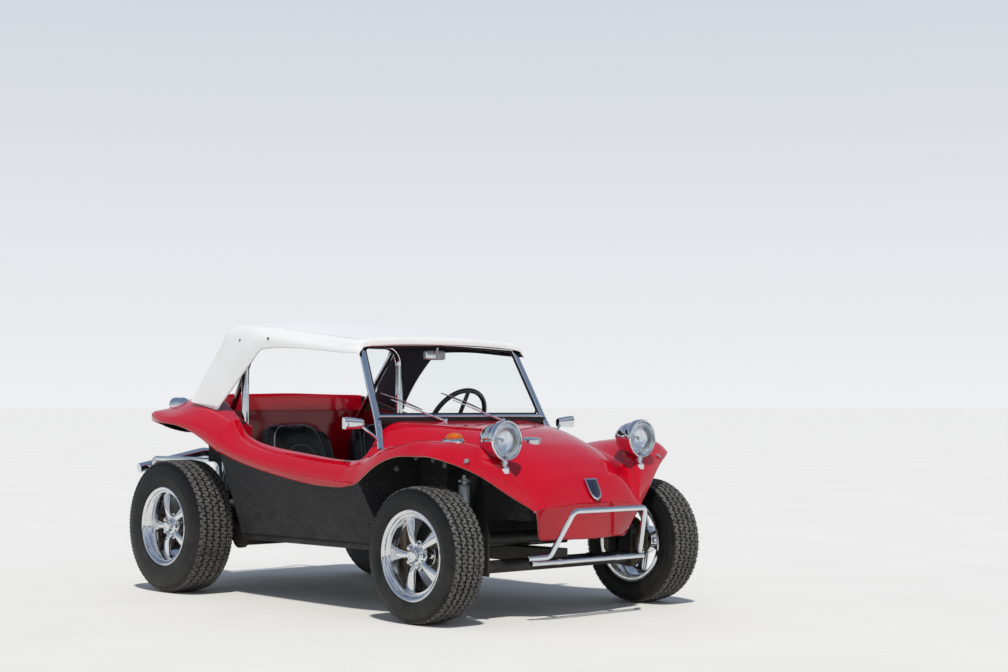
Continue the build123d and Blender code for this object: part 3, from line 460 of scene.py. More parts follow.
class Shape:
    """A mesh being worked on, with the steps that many pieces share."""

    def __init__(self) -> None:
        """Start with nothing."""
        self.bm = bmesh.new()

    def mark(self, start: int, material: int) -> None:
        """Give faces one of the piece's materials.

        Args:
            start: the number of the first face; all later ones take it too.
            material: the material's number.
        """
        self.bm.faces.ensure_lookup_table()
        for face in self.bm.faces[start:]:
            face.material_index = material

    def soften(self, edges: Iterable[bmesh.types.BMEdge], offset: float,
               segments: int = 2) -> dict[str, list]:
        """Round edges off.

        Args:
            edges: the edges.
            offset: how far the rounding reaches, in metres.
            segments: how many flats make it.

        Returns:
            What the operator made.
        """
        return bmesh.ops.bevel(self.bm, geom=list(edges), offset=offset, offset_type="OFFSET", profile=0.5,
                               segments=segments, affect="EDGES", clamp_overlap=True, material=-1)

    def lathe(self, origin: Vector, axis: Vector, profile: Profile, steps: int = 48, material: int = 0,
              closed: bool = False) -> "Shape":
        """Turn a profile round an axis.

        Args:
            origin: a point of the axis, where the profile's first number is 0.
            axis: the axis's direction.
            profile: (distance along the axis, radius) pairs in metres.
            steps: how many flats make the round.
            material: which of the piece's materials it takes.
            closed: whether the profile's last point joins its first.

        Returns:
            This shape.
        """
        start = len(self.bm.faces)
        seat = placed(origin, axis)
        verts = [self.bm.verts.new(seat @ Vector((r, 0, a))) for a, r in profile]
        pairs = list(zip(verts, verts[1:])) + ([(verts[-1], verts[0])] if closed else [])
        edges = [self.bm.edges.new(pair) for pair in pairs]
        bmesh.ops.spin(self.bm, geom=verts + edges, cent=origin, axis=axis.normalized(), angle=FULL_TURN,
                       steps=steps, use_merge=True, use_duplicate=False)
        bmesh.ops.remove_doubles(self.bm, verts=self.bm.verts, dist=WELD)
        self.mark(start, material)
        return self

    def rod(self, start: Vector, end: Vector, radius: float, tip: float | None = None, segments: int = 16,
            round_off: float = 0.0, material: int = 0) -> "Shape":
        """A straight round bar.

        Args:
            start: the middle of one end.
            end: the middle of the other.
            radius: its radius at the start.
            tip: its radius at the end, where it tapers.
            segments: how many flats make the round; 6 for a bolt's head.
            round_off: how far its rims are rounded.
            material: which of the piece's materials it takes.

        Returns:
            This shape.
        """
        count = len(self.bm.faces)
        made = bmesh.ops.create_cone(
            self.bm, cap_ends=True, cap_tris=False, segments=segments, radius1=radius,
            radius2=radius if tip is None else tip, depth=(end - start).length,
            matrix=placed((start + end) / 2, end - start))
        if round_off:
            edges = once(e for v in made["verts"] for e in v.link_edges)
            self.soften([e for e in edges if any(len(f.verts) > 4 for f in e.link_faces)], round_off)
        self.mark(count, material)
        return self

    def block(self, low: Sequence[float], high: Sequence[float], bevel: float = 0.0, segments: int = 2,
              material: int = 0, turn: Matrix | None = None) -> "Shape":
        """A box.

        Args:
            low: one corner.
            high: the opposite corner.
            bevel: how far its edges are rounded.
            segments: how many flats make the rounding.
            material: which of the piece's materials it takes.
            turn: a turn about its own middle.

        Returns:
            This shape.
        """
        count = len(self.bm.faces)
        low, high = Vector(low), Vector(high)
        size = high - low
        seat = Matrix.Translation((low + high) / 2) @ (turn or Matrix()) @ Matrix.Diagonal((*size, 1))
        made = bmesh.ops.create_cube(self.bm, size=1, matrix=seat)
        if bevel:
            self.soften(once(e for v in made["verts"] for e in v.link_edges), bevel, segments)
        self.mark(count, material)
        return self

    def loops(self, rings: Sequence[tuple[Matrix, float, float]], segments: int = 16, square: float = 2.0,
              caps: bool = True, material: int = 0) -> "Shape":
        """A smooth limb through rings.

        Args:
            rings: for each ring its frame, and its half sizes along the frame's X and Y.
            segments: points in a ring.
            square: 2 for an ellipse, more for squarer corners.
            caps: whether both ends are closed.
            material: which of the piece's materials it takes.

        Returns:
            This shape.
        """
        count = len(self.bm.faces)
        edges: list[bmesh.types.BMEdge] = []
        ends = []
        for index, (seat, half_x, half_y) in enumerate(rings):
            made = bmesh.ops.create_circle(self.bm, cap_ends=False, segments=segments, radius=1.0)["verts"]
            for vert in made:
                x, y = vert.co.x, vert.co.y
                reach = (abs(x) ** square + abs(y) ** square) ** (1 / square)
                vert.co = seat @ Vector((x / reach * half_x, y / reach * half_y, 0))
            ring = once(e for v in made for e in v.link_edges)
            if index in (0, len(rings) - 1):
                ends.append(ring)
            edges.append(ring)
        for first, second in zip(edges, edges[1:]):
            bmesh.ops.bridge_loops(self.bm, edges=[*first, *second])
        if caps:
            for ring in ends:
                bmesh.ops.contextual_create(self.bm, geom=ring)
        self.mark(count, material)
        return self

    def limb(self, rings: Iterable[tuple[Vector, float, float]], along: Vector, near: Vector,
             segments: int = 20, square: float = 4.0, material: int = 0) -> "Shape":
        """A smooth limb whose rings all face one way.

        Args:
            rings: for each ring its middle, and its half sizes in millimetres.
            along: the way that the rings face.
            near: the direction of their first half size.
            segments: points in a ring.
            square: 2 for an ellipse, more for squarer corners.
            material: which of the piece's materials it takes.

        Returns:
            This shape.
        """
        seats = [(placed(middle, along, near), wide / 1000, deep / 1000) for middle, wide, deep in rings]
        return self.loops(seats, segments, square, material=material)

    def tube(self, points: Sequence[Vector], radius: float, bend: float = 0.04, sides: int = 5,
             material: int = 0) -> "Shape":
        """A bent round bar along straight runs with arcs between them.

        Args:
            points: the corners of the bar's centre line.
            radius: the bar's radius.
            bend: the radius of each bend.
            sides: a quarter turn's flats.
            material: which of the piece's materials it takes.

        Returns:
            This shape.
        """
        line = self.rounded(points, bend)
        curve = bpy.data.curves.new("bar", "CURVE")
        curve.dimensions, curve.use_fill_caps = "3D", True
        curve.bevel_depth, curve.bevel_resolution = radius, sides
        spline = curve.splines.new("POLY")
        spline.points.add(len(line) - 1)
        for point, place in zip(spline.points, line):
            point.co = (*place, 1.0)
        holder = bpy.data.objects.new("bar", curve)
        mesh = bpy.data.meshes.new_from_object(holder)
        count = len(self.bm.faces)
        self.bm.from_mesh(mesh)
        self.mark(count, material)
        bpy.data.objects.remove(holder)
        bpy.data.meshes.remove(mesh)
        return self

    @staticmethod
    def rounded(points: Sequence[Vector], bend: float, step: float = 12.0) -> list[Vector]:
        """The centre line of a bar whose corners are arcs.

        Args:
            points: the line's corners.
            bend: the radius of each arc.
            step: degrees between two points of an arc.

        Returns:
            Points along the line.
        """
        straight, share = 0.02, 0.49
        line = [points[0].copy()]
        for before, corner, after in zip(points, points[1:], points[2:]):
            back, on = (before - corner).normalized(), (after - corner).normalized()
            angle = math.pi - back.angle(on)
            if angle < straight:
                line.append(corner.copy())
                continue
            room = share * min((before - corner).length, (after - corner).length)
            reach = min(bend * math.tan(angle / 2), room)
            radius = reach / math.tan(angle / 2)
            axis = back.cross(on).normalized()
            centre = corner + (back + on).normalized() * (radius / math.cos(angle / 2))
            arm = corner + back * reach - centre
            count = max(2, round(math.degrees(angle) / step))
            line += [centre + Matrix.Rotation(-angle * i / count, 3, axis) @ arm for i in range(count + 1)]
        line.append(points[-1].copy())
        return line

    def around(self, centre: Vector, axis: Vector, count: int, first_face: int = 0) -> "Shape":
        """Repeat what was made last, evenly round an axis.

        Args:
            centre: a point of the axis.
            axis: its direction.
            count: how many there are in the end.
            first_face: the number of the first face to repeat.

        Returns:
            This shape.
        """
        self.bm.faces.ensure_lookup_table()
        faces = self.bm.faces[first_face:]
        edges = once(e for f in faces for e in f.edges)
        verts = once(v for f in faces for v in f.verts)
        bmesh.ops.spin(self.bm, geom=[*verts, *edges, *faces], cent=centre, axis=axis.normalized(),
                       angle=FULL_TURN * (count - 1) / count, steps=count - 1, use_duplicate=True)
        return self

    def grid(self, rows: Sequence[Sequence[Vector]], material: int = 0) -> "Shape":
        """A sheet of quads.

        Args:
            rows: the quads' corners, row by row.
            material: which of the piece's materials it takes.

        Returns:
            This shape.
        """
        count = len(self.bm.faces)
        across, along = len(rows[0]), len(rows)
        made = bmesh.ops.create_grid(self.bm, x_segments=across - 1, y_segments=along - 1,
                                     size=1.0)["verts"]
        for index, vert in enumerate(made):
            vert.co = rows[index // across][index % across]
        self.mark(count, material)
        return self

    def mirrored(self, merge: float = 1e-5) -> "Shape":
        """Add the same shape on the car's other side.

        Args:
            merge: how near the middle two points become one.

        Returns:
            This shape.
        """
        everything = [*self.bm.verts, *self.bm.edges, *self.bm.faces]
        bmesh.ops.mirror(self.bm, geom=everything, matrix=Matrix(), merge_dist=merge, axis="Y")
        return self

    def outward(self, inside: Vector | None = None) -> "Shape":
        """Point the faces outwards.

        Args:
            inside: a point behind all faces, for a mesh that is open.

        Returns:
            This shape.
        """
        bmesh.ops.remove_doubles(self.bm, verts=self.bm.verts, dist=WELD)
        bmesh.ops.recalc_face_normals(self.bm, faces=self.bm.faces)
        if inside is not None:
            facing = sum(f.normal.dot(f.calc_center_median() - inside) * f.calc_area()
                         for f in self.bm.faces)
            if facing < 0:
                bmesh.ops.reverse_faces(self.bm, faces=self.bm.faces)
        return self

    def piece(self, name: str, body: str, finishes: Sequence[Finish], slot: str,
              stands_for: Iterable[str] = (), sharp: float = 38.0,
              turn_out: bool = True) -> bpy.types.Object:
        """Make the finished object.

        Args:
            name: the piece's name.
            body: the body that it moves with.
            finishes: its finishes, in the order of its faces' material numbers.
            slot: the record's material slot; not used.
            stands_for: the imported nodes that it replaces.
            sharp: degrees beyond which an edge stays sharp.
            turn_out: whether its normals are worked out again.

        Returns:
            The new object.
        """
        if turn_out:
            self.outward()
        for face in self.bm.faces:
            face.smooth = True
        for edge in self.bm.edges:
            edge.smooth = len(edge.link_faces) != 2 or edge.calc_face_angle(0.0) < math.radians(sharp)
        mesh = bpy.data.meshes.new(name)
        self.bm.to_mesh(mesh)
        self.bm.free()
        made = bpy.data.objects.new(name, mesh)
        bpy.context.scene.collection.objects.link(made)
        for finish in finishes:
            mesh.materials.append(finish.material())
        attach(made, body)
        if stands_for:
            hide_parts(*stands_for)
        LOG.info("%s: %d faces on %s", name, len(mesh.polygons), body)
        return made


def settle(made: bpy.types.Object, levels: int, rounds: int = 5) -> None:
    """Smooth a cage so that the smooth surface runs through the cage's own corners.

    Args:
        made: the object, with the cage as its mesh.
        levels: how often each quad is divided.
        rounds: how often the cage is moved by most of what the surface is off.
    """
    most = 0.9
    smooth = made.modifiers.new("smooth", "SUBSURF")
    smooth.levels = smooth.render_levels = 1
    wanted = [v.co.copy() for v in made.data.vertices]
    for _ in range(rounds):
        bpy.context.view_layer.update()
        seen = made.evaluated_get(bpy.context.evaluated_depsgraph_get())
        found = [seen.data.vertices[i].co.copy() for i in range(len(wanted))]
        for vert, goal, now in zip(made.data.vertices, wanted, found):
            vert.co += (goal - now) * most
        made.data.update()
    smooth.levels = smooth.render_levels = levels


def thicken(made: bpy.types.Object, thickness: float, inner: int = 0, rim: int = 0) -> None:
    """Give an open skin its wall, on the side away from its normals.

    Args:
        made: the skin's object.
        thickness: the wall's thickness in metres.
        inner: what is added to a face's material number on the wall's inner side.
        rim: what is added on its rim.
    """
    wall = made.modifiers.new("wall", "SOLIDIFY")
    wall.thickness, wall.offset, wall.use_even_offset = thickness, -1.0, True
    wall.material_offset, wall.material_offset_rim = inner, rim


def crease(bm: bmesh.types.BMesh, chosen: Callable[[Vector], bool], amount: float) -> None:
    """Crease edges.

    Args:
        bm: the mesh.
        chosen: says of a point whether it is on the crease; an edge needs both its ends there.
        amount: how sharp the crease is, up to 1.
    """
    layer = bm.edges.layers.float.get("crease_edge") or bm.edges.layers.float.new("crease_edge")
    for edge in bm.edges:
        if all(chosen(v.co) for v in edge.verts):
            edge[layer] = amount


def dress(nodes: Iterable[str], finish: Finish) -> None:
    """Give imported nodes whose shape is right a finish.

    Args:
        nodes: their names.
        finish: the finish.
    """
    for name in nodes:
        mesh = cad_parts[name].data
        mesh.materials.clear()
        mesh.materials.append(finish.material())


# Red body


@dataclass
class BodySkin:
    """The one-piece fibreglass body: hood pod, fenders, rails, rear quarters and nose."""

    thickness: float = 0.006
    # station, then (y, z) of the centre line, shoulder and edge of the raised hood
    hood: SectionTable = (
        (470, ((0, 914), (300, 913), (490, 898))),
        (530, ((0, 911), (297, 908), (475, 890))),
        (600, ((0, 906), (290, 902), (455, 884))),
        (720, ((0, 896), (270, 892), (425, 863))),
        (850, ((0, 880), (240, 874), (390, 838))),
        (960, ((0, 855), (225, 848), (365, 808))),
        (1060, ((0, 826), (212, 817), (345, 776))),
        (1133, ((0, 800), (200, 789), (330, 748))),
        (1200, ((0, 766), (190, 754), (315, 716))),
        (1250, ((0, 735), (180, 722), (300, 684))),
        (1300, ((0, 692), (170, 681), (285, 641))),
        (1340, ((0, 648), (163, 637), (275, 600))),
    )
    # station, then (y, z) of valley, slope, crest, shoulder and lip
    side: SectionTable = (
        (1356, ((352, 511), (355, 513), (358, 512), (361, 508), (364, 502))),
        (1340, ((335, 545), (350, 556), (358, 552), (365, 538), (371, 520))),
        (1300, ((345, 585), (385, 625), (412, 632), (441, 609), (458, 577))),
        (1250, ((375, 642), (420, 696), (470, 712), (535, 694), (568, 656))),
        (1200, ((405, 690), (455, 762), (540, 768), (620, 749), (668, 711))),
        (1133, ((430, 722), (500, 800), (610, 810), (720, 795), (785, 757))),
        (1060, ((448, 742), (530, 806), (650, 824), (748, 815), (797, 760))),
        (960, ((470, 762), (575, 812), (685, 829), (758, 822), (800, 760))),
        (850, ((490, 775), (600, 808), (700, 816), (768, 795), (801, 748))),
        (720, ((520, 785), (630, 800), (705, 796), (767, 765), (800, 700))),
        (600, ((555, 795), (640, 772), (712, 752), (768, 700), (790, 632))),
        (530, ((580, 798), (643, 748), (716, 730), (772, 672), (784, 612))),
        (470, ((602, 790), (645, 728), (720, 715), (776, 652), (780, 603))),
        (400, ((634, 724), (672, 726), (728, 708), (780, 650), (776, 602))),
        (200, ((645, 735), (680, 736), (735, 715), (777, 660), (772, 610))),
        (-50, ((650, 760), (683, 760), (738, 738), (775, 682), (765, 640))),
        (-300, ((650, 790), (683, 789), (735, 767), (770, 722), (761, 680))),
        (-500, ((640, 840), (675, 839), (728, 812), (766, 766), (757, 722))),
        (-600, ((617, 905), (660, 900), (720, 860), (762, 798), (756, 750))),
        (-650, ((600, 930), (650, 922), (715, 880), (760, 816), (755, 765))),
        (-800, ((550, 988), (615, 972), (692, 930), (746, 875), (750, 828))),
        (-1000, ((500, 1053), (575, 1022), (662, 970), (734, 922), (745, 883))),
        (-1200, ((450, 1045), (555, 1014), (645, 968), (718, 933), (730, 900))),
        (-1380, ((420, 1000), (495, 987), (580, 968), (663, 958), (669, 913))),
        (-1388, ((400, 842), (490, 852), (560, 870), (610, 889), (648, 903))),
    )
    # height of the rear deck on the centre line, by station
    deck: tuple[tuple[float, float], ...] = ((-1000, 1061), (-1200, 1052), (-1380, 1012), (-1388, 908))
    wall_foot: float = 955
    # (station, y, z) along the nose's crease and its chin, from the centre line out
    crease_line: tuple[tuple[float, float, float], ...] = (
        (1394, 0, 541), (1385, 150, 536), (1373, 255, 525), (1356, 352, 511))
    chin_line: tuple[tuple[float, float, float], ...] = (
        (1354, 0, 367), (1345, 125, 369), (1330, 222, 371), (1311, 284, 374))

    # how far apart the grids' shared points may lie
    seam: float = 2e-4
    # a point behind the whole skin
    inside: tuple[float, float, float] = (0.1, 0, 0.2)
    nose_crease: float = 0.75
    deck_crease: float = 0.8
    deck_half: float = 501

    def rows(self) -> tuple[list[list[Vector]], list[list[Vector]], list[list[Vector]]]:
        """The rows of points of the skin's left half.

        Returns:
            Those of the hood with the nose, of the side, and of the deck.
        """
        edge = {station: points[0] for station, points in self.side}
        hood = [[at(s, y, z) for y, z in (*points, edge[s])] for s, points in self.hood]
        crease_row = [at(*p) for p in self.crease_line]
        chin = [at(*p) for p in self.chin_line]
        hood += [crease_row, [a.lerp(b, 0.5) for a, b in zip(crease_row, chin)], chin]
        side = [[at(s, y, z) for y, z in points] for s, points in self.side]
        deck = []
        for station, height in self.deck:
            y, z = edge[station]
            deck.append([at(station, y * t, height + (z - height) * t) for t in (0, 0.4, 0.75, 1)])
        # the wall's foot lies a little ahead, but its end meets the tub's corner
        front, behind = self.deck[0][0] + 1, self.deck[0][0] - 3
        deck.insert(0, [at(behind if i == 3 else front, 1000 * v.y, self.wall_foot)
                        for i, v in enumerate(deck[0])])
        return hood, side, deck

    def build(self) -> bpy.types.Object:
        """Make the whole skin as one smooth piece.

        Returns:
            The skin's object.
        """
        hood, side, deck = self.rows()
        shape = Shape().grid(hood).grid(side).grid(deck).mirrored()
        bmesh.ops.remove_doubles(shape.bm, verts=shape.bm.verts, dist=self.seam)
        shape.outward(Vector(self.inside))
        nose = {tuple(round(c, 4) for c in at(s, y * side, z))
                for s, y, z in self.crease_line for side, _ in SIDES}
        crease(shape.bm, lambda co: tuple(round(c, 4) for c in co) in nose, self.nose_crease)
        edge, reach = at(self.deck[0][0], 0, 0).x, at(0, self.deck_half, 0).y
        crease(shape.bm, lambda co: abs(co.x - edge) < self.seam / 2 and abs(co.y) < reach,
               self.deck_crease)
        made = shape.piece("red_body", "chassis", [Paint.RED, Paint.UNDERSIDE, Paint.RAW_EDGE], "red_shell",
                           ["body_shell", "hood"], turn_out=False)
        settle(made, 3)
        thicken(made, self.thickness, 1, 2)
        return made


# Soft top


@dataclass
class SoftTop:
    """The raised top, open at the back: one sewn sheet with its seams and snaps."""

    thickness: float = 0.003
    seam_radius: float = 0.0018
    # station, then (y, z) of centre, quarter, shoulder, roll, side and hem
    roof: SectionTable = (
        (317, ((0, 1302), (300, 1297), (500, 1283), (534, 1269), (550, 1255), (555, 1243))),
        (314, ((0, 1318), (300, 1313), (502, 1299), (537, 1281), (552, 1263), (557, 1246))),
        (303, ((0, 1336), (300, 1331), (505, 1316), (541, 1293), (556, 1269), (560, 1250))),
        (260, ((0, 1343), (300, 1337), (510, 1321), (554, 1296), (568, 1270), (572, 1250))),
        (100, ((0, 1366), (300, 1359), (512, 1338), (560, 1312), (577, 1288), (582, 1262))),
        (-150, ((0, 1405), (300, 1396), (515, 1368), (568, 1342), (587, 1316), (592, 1283))),
        (-400, ((0, 1438), (300, 1429), (516, 1400), (573, 1372), (595, 1340), (600, 1286))),
        (-485, ((0, 1447), (300, 1438), (516, 1407), (574, 1380), (597, 1330), (601, 1256))),
        (-612, ((0, 1457), (300, 1447), (516, 1416), (574, 1388), (599, 1290), (606, 1148))),
        (-728, ((0, 1457), (300, 1446), (516, 1415), (574, 1386), (604, 1230), (625, 1034))),
        (-768, ((0, 1450), (300, 1440), (518, 1409), (576, 1376), (607, 1195), (636, 990))),
        (-789, ((0, 1440), (300, 1430), (522, 1399), (578, 1366), (608, 1185), (640, 969))),
        (-825, ((0, 1394), (300, 1384), (530, 1356), (580, 1330), (609, 1170), (640, 975))),
        (-842, ((0, 1340), (300, 1332), (540, 1320), (582, 1306), (610, 1160), (640, 978))),
    )
    flap: SectionTable = (
        (-842, ((582, 1306), (610, 1160), (640, 978))),
        (-940, ((604, 1172), (622, 1084), (640, 995))),
        (-1012, ((622, 1068), (632, 1036), (641, 1007))),
        (-1039, ((636, 1032), (638, 1024), (640, 1016))),
    )
    snaps: tuple[tuple[float, float, float], ...] = ((-655, 588, 1336), (-390, 597, 1338))

    def build(self) -> None:
        """The sheet, its seams and its snaps."""
        shape = Shape().grid([[at(s, y, z) for y, z in row] for s, row in self.roof])
        shape.grid([[at(s, y, z) for y, z in row] for s, row in self.flap]).mirrored()
        shape.outward(Vector((-0.3, 0, 0.7)))
        sheet = shape.piece("soft_top_sheet", "chassis", [Paint.VINYL, Paint.LINING, Paint.SEAL],
                            "white_vinyl", ["soft_top"], turn_out=False)
        settle(sheet, 3)
        thicken(sheet, self.thickness, 1, 0)
        self.trim()

    def trim(self) -> None:
        """Welted seams over the shoulders, and press studs."""
        seams = Shape()
        for side, _ in SIDES:
            line = [at(s, side * (row[2][0] + 3), row[2][1] + 0.4) for s, row in self.roof[2:-1]]
            seams.tube(line, self.seam_radius, 0.1, 3)
        seams.piece("soft_top_seams", "chassis", [Paint.VINYL], "white_vinyl")
        studs = Shape()
        for side, _ in SIDES:
            for station, y, z in self.snaps:
                studs.lathe(at(station, side * y, z), Vector((0, side, 0.25)),
                            [(0.0, 0.0), (0.0, 0.0075), (0.002, 0.0072), (0.0042, 0.0045), (0.0046, 0.0)],
                            20)
        studs.piece("soft_top_studs", "chassis", [Paint.STEEL], "bright_chrome")


# Tyres and wheels


@dataclass
class Corner:
    """One road wheel with its tyre: where it is and how large."""

    place: str
    side: int
    x: float
    track: float
    radius: float
    width: float
    # how far the spokes' face lies inside the rim, and how far out the disc's inner face lies
    spread: float
    disc_from: float
    pitches: int
    rim: float = 0.1905
    flange: float = 0.207
    ribs: int = 5
    groove: float = 0.009
    tread_depth: float = 0.007
    bead_in: float = 0.014
    wall_bars: int = 96
    # the outer ribs: how far in they end, how much lower they lie, and their slope in degrees
    shoulder: float = 0.015
    shoulder_drop: float = 0.0035
    shoulder_tilt: float = 9.0
    lean: float = 0.0045
    block_height: float = 0.012
    spokes: int = 5

    @property
    def name(self) -> str:
        """The corner's name, such as front_left."""
        return f"{self.place}_{dict(SIDES)[self.side]}"

    @property
    def centre(self) -> Vector:
        """The middle of the wheel."""
        return Vector((self.x, self.side * self.track / 2, self.radius))

    @property
    def out(self) -> Vector:
        """The direction along the axle away from the car."""
        return Vector((0, self.side, 0))

    def tyre(self) -> bpy.types.Object:
        """Make the carcass with its beads and tread blocks.

        Returns:
            The tyre's object.
        """
        half, wall = self.width / 2, self.radius - self.rim
        bead, low = half - self.bead_in, self.radius - self.tread_depth
        outer = [(bead - 0.002, self.rim), (bead, self.flange + 0.001), (bead + 0.006, self.flange + 0.006),
                 (bead + 0.009, self.flange + 0.01)]
        # how far in from the widest place, and how far up the wall as a share
        outer += [(half - inset, self.rim + share * wall)
                  for inset, share in ((0.002, 0.36), (0, 0.46), (0, 0.52), (0.0016, 0.535), (0.0022, 0.63),
                                       (0.005, 0.74), (0.0065, 0.76))]
        outer += [(half - 0.009, low - 0.016), (half - 0.015, low - 0.006), (half - 0.026, low - 0.0005),
                  (half - 0.04, low)]
        profile = outer + [(-a, r) for a, r in reversed(outer)]
        shape = Shape().lathe(self.centre, self.out, profile, 120)
        self.sidewall_bars(shape)
        first = len(shape.bm.faces)
        self.tread_pitch(shape)
        shape.around(self.centre, LEFT, self.pitches, first)
        shape.mark(first, 1)
        return shape.piece(f"tyre_{self.name}_treaded", f"{self.name}_wheel", [Paint.RUBBER, Paint.TREAD],
                           "tyre_rubber", [f"tyre_{self.name}"], sharp=30.0)

    def sidewall_bars(self, shape: Shape) -> None:
        """Add short raised bars in a ring near each shoulder.

        Args:
            shape: the tyre.
        """
        first = len(shape.bm.faces)
        reach = self.rim + 0.83 * (self.radius - self.rim)
        half_bar = Vector((0.0016, 0.0022, 0.008))
        for side, _ in SIDES:
            bar = self.centre + Vector((0, side * (self.width / 2 - 0.0095), reach))
            tilt = Matrix.Rotation(side * math.radians(-20), 4, "X")
            shape.block(bar - half_bar, bar + half_bar, 0.0006, 1, turn=tilt)
        shape.around(self.centre, LEFT, self.wall_bars, first)

    def tread_pitch(self, shape: Shape) -> None:
        """Add the blocks of one pitch at the tyre's top, two to a rib, with zigzag gaps between them.

        Args:
            shape: the tyre.
        """
        pitch = FULL_TURN * self.radius / self.pitches
        usable = self.width - 2 * self.shoulder
        step = usable / self.ribs
        wide = step - self.groove
        for rib in range(self.ribs):
            middle = (rib - (self.ribs - 1) / 2) * step
            edge_rib = abs(middle) > usable / 2 - step
            drop = self.shoulder_drop if edge_rib else 0.0
            height = self.radius - self.block_height / 2 - drop
            tilt = math.radians(self.shoulder_tilt) * (1 if middle > 0 else -1) if edge_rib else 0.0
            lean = self.lean * (1 if rib % 2 else -1)
            stagger = pitch * (0.5 * (rib % 2) + 0.13 * rib)
            # place in the pitch, length as a share of it, and the way the block slants
            for share, length, way in ((0.25, 0.46, 1), (0.75, 0.43, -1)):
                made = bmesh.ops.create_cube(shape.bm, size=1)["verts"]
                for vert in made:
                    x, y, z = vert.co
                    vert.co = Vector((x * pitch * length + lean * way * 2 * y, y * wide,
                                      z * self.block_height))
                edges = once(e for v in made for e in v.link_edges if v.co.z > 0)
                cut = shape.soften([e for e in edges if all(v.co.z > 0 for v in e.verts)], 0.0011, 1)
                turn = (stagger + pitch * share) / self.radius
                seat = (Matrix.Translation(self.centre) @ Matrix.Rotation(turn, 4, "Y")
                        @ Matrix.Translation(Vector((0, middle, height)))
                        @ Matrix.Rotation(-tilt, 4, "X"))
                for vert in once(v for v in [*made, *cut["verts"]] if v.is_valid):
                    vert.co = seat @ vert.co

    def wheel(self) -> bpy.types.Object:
        """Make the deep-lipped wheel with its paddle spokes, centre cap and nuts.

        Returns:
            The wheel's object.
        """
        half = self.width / 2 - self.bead_in
        face = half - self.spread
        lip = [(half - 0.002, self.rim), (half, self.flange), (half + 0.004, self.flange + 0.0015),
               (half + 0.006, self.flange - 0.002), (half + 0.005, self.flange - 0.006),
               (half + 0.001, self.rim + 0.004), (half - 0.008, self.rim - 0.002),
               (half - 0.012, self.rim - 0.006), (half - 0.013, self.rim - 0.011),
               (half - 0.022, self.rim - 0.015), (face + 0.01, self.rim - 0.021),
               (face - 0.006, self.rim - 0.024), (face - 0.02, self.rim - 0.03),
               (face - 0.024, self.rim - 0.03), (face - 0.028, self.rim - 0.022),
               (-half + 0.02, self.rim - 0.02), (-half - 0.002, self.rim - 0.008),
               (-half - 0.005, self.flange - 0.004), (-half - 0.004, self.flange),
               (-half, self.flange - 0.001), (-half, self.rim), (-half + 0.02, self.rim - 0.01),
               (face - 0.028, self.rim - 0.017), (half - 0.03, self.rim - 0.01)]
        shape = Shape().lathe(self.centre, self.out, lip, 96, closed=True)
        first = len(shape.bm.faces)
        self.spoke(shape, face)
        shape.around(self.centre, self.out, self.spokes, first)
        cap = [
            (face - 0.06, 0.0), (face - 0.06, 0.066), (face - 0.016, 0.066), (face - 0.006, 0.06),
            (face - 0.002, 0.046), (face + 0.004, 0.034), (face + 0.006, 0.0315), (face + 0.024, 0.03),
            (face + 0.028, 0.027), (face + 0.029, 0.018), (face + 0.027, 0.016), (face + 0.027, 0.0),
        ]
        shape.lathe(self.centre, self.out, cap, 48)
        first = len(shape.bm.faces)
        self.lug(shape, face)
        shape.around(self.centre, self.out, self.spokes, first)
        return shape.piece(f"wheel_{self.name}_spoked", f"{self.name}_wheel", [Paint.ALLOY, Paint.CHROME],
                           "wheel_alloy", sharp=42.0)

    def spoke(self, shape: Shape, face: float) -> None:
        """Add one paddle spoke, widening from the hub to the lip.

        Args:
            shape: the wheel.
            face: how far out the wheel's face lies from its middle.
        """
        # distance from the axle, half width, half thickness, height of its middle above the face
        stations = ((0.04, 12, 10, -0.01), (0.062, 15, 13, -0.004), (0.085, 17.5, 14.5, -0.002),
                    (0.11, 22, 14, -0.004), (0.135, 27, 13, -0.007), (0.156, 30, 12, -0.01),
                    (0.169, 31, 11, -0.012))
        rings = [(self.centre + BACK * reach + self.out * (face + height), wide, thick)
                 for reach, wide, thick, height in stations]
        shape.limb(rings, BACK, self.out.cross(BACK), 20, 2.3)

    def lug(self, shape: Shape, face: float) -> None:
        """Add one wheel nut in its pad, between two spokes.

        Args:
            shape: the wheel.
            face: how far out the wheel's face lies from its middle.
        """
        half_step = FULL_TURN / self.spokes / 2
        seat = self.centre + Matrix.Rotation(half_step, 3, self.out) @ (BACK * 0.053)
        shape.rod(seat + self.out * (face - 0.05), seat + self.out * (face - 0.006), 0.0185, segments=24,
                  round_off=0.002)
        shape.rod(seat + self.out * (face - 0.01), seat + self.out * (face + 0.01), 0.0115, 0.0105, 6,
                  round_off=0.001, material=1)

    def brake(self, body: str) -> bpy.types.Object:
        """Make the brake disc with its hat behind the spokes, which turns with the wheel.

        Args:
            body: the body that it moves with.

        Returns:
            The disc's object.
        """
        inner = Vector((self.x, self.side * self.disc_from, self.radius))
        disc = [(0.0, 0.06), (0.0, 0.13), (0.004, 0.131), (0.004, 0.124), (0.007, 0.124), (0.007, 0.131),
                (0.011, 0.13), (0.011, 0.072), (0.03, 0.062), (0.034, 0.055), (0.034, 0.02), (0.0, 0.02)]
        shape = Shape().lathe(inner, self.out, disc, 64, closed=True)
        return shape.piece(f"brake_{self.name}", body, [Paint.DISC], "wheel_alloy", [f"wheel_{self.name}"])

    def build(self) -> None:
        """Make the tyre, the wheel and the disc."""
        self.tyre()
        self.wheel()
        self.brake(f"{self.name}_wheel")


# Cabin


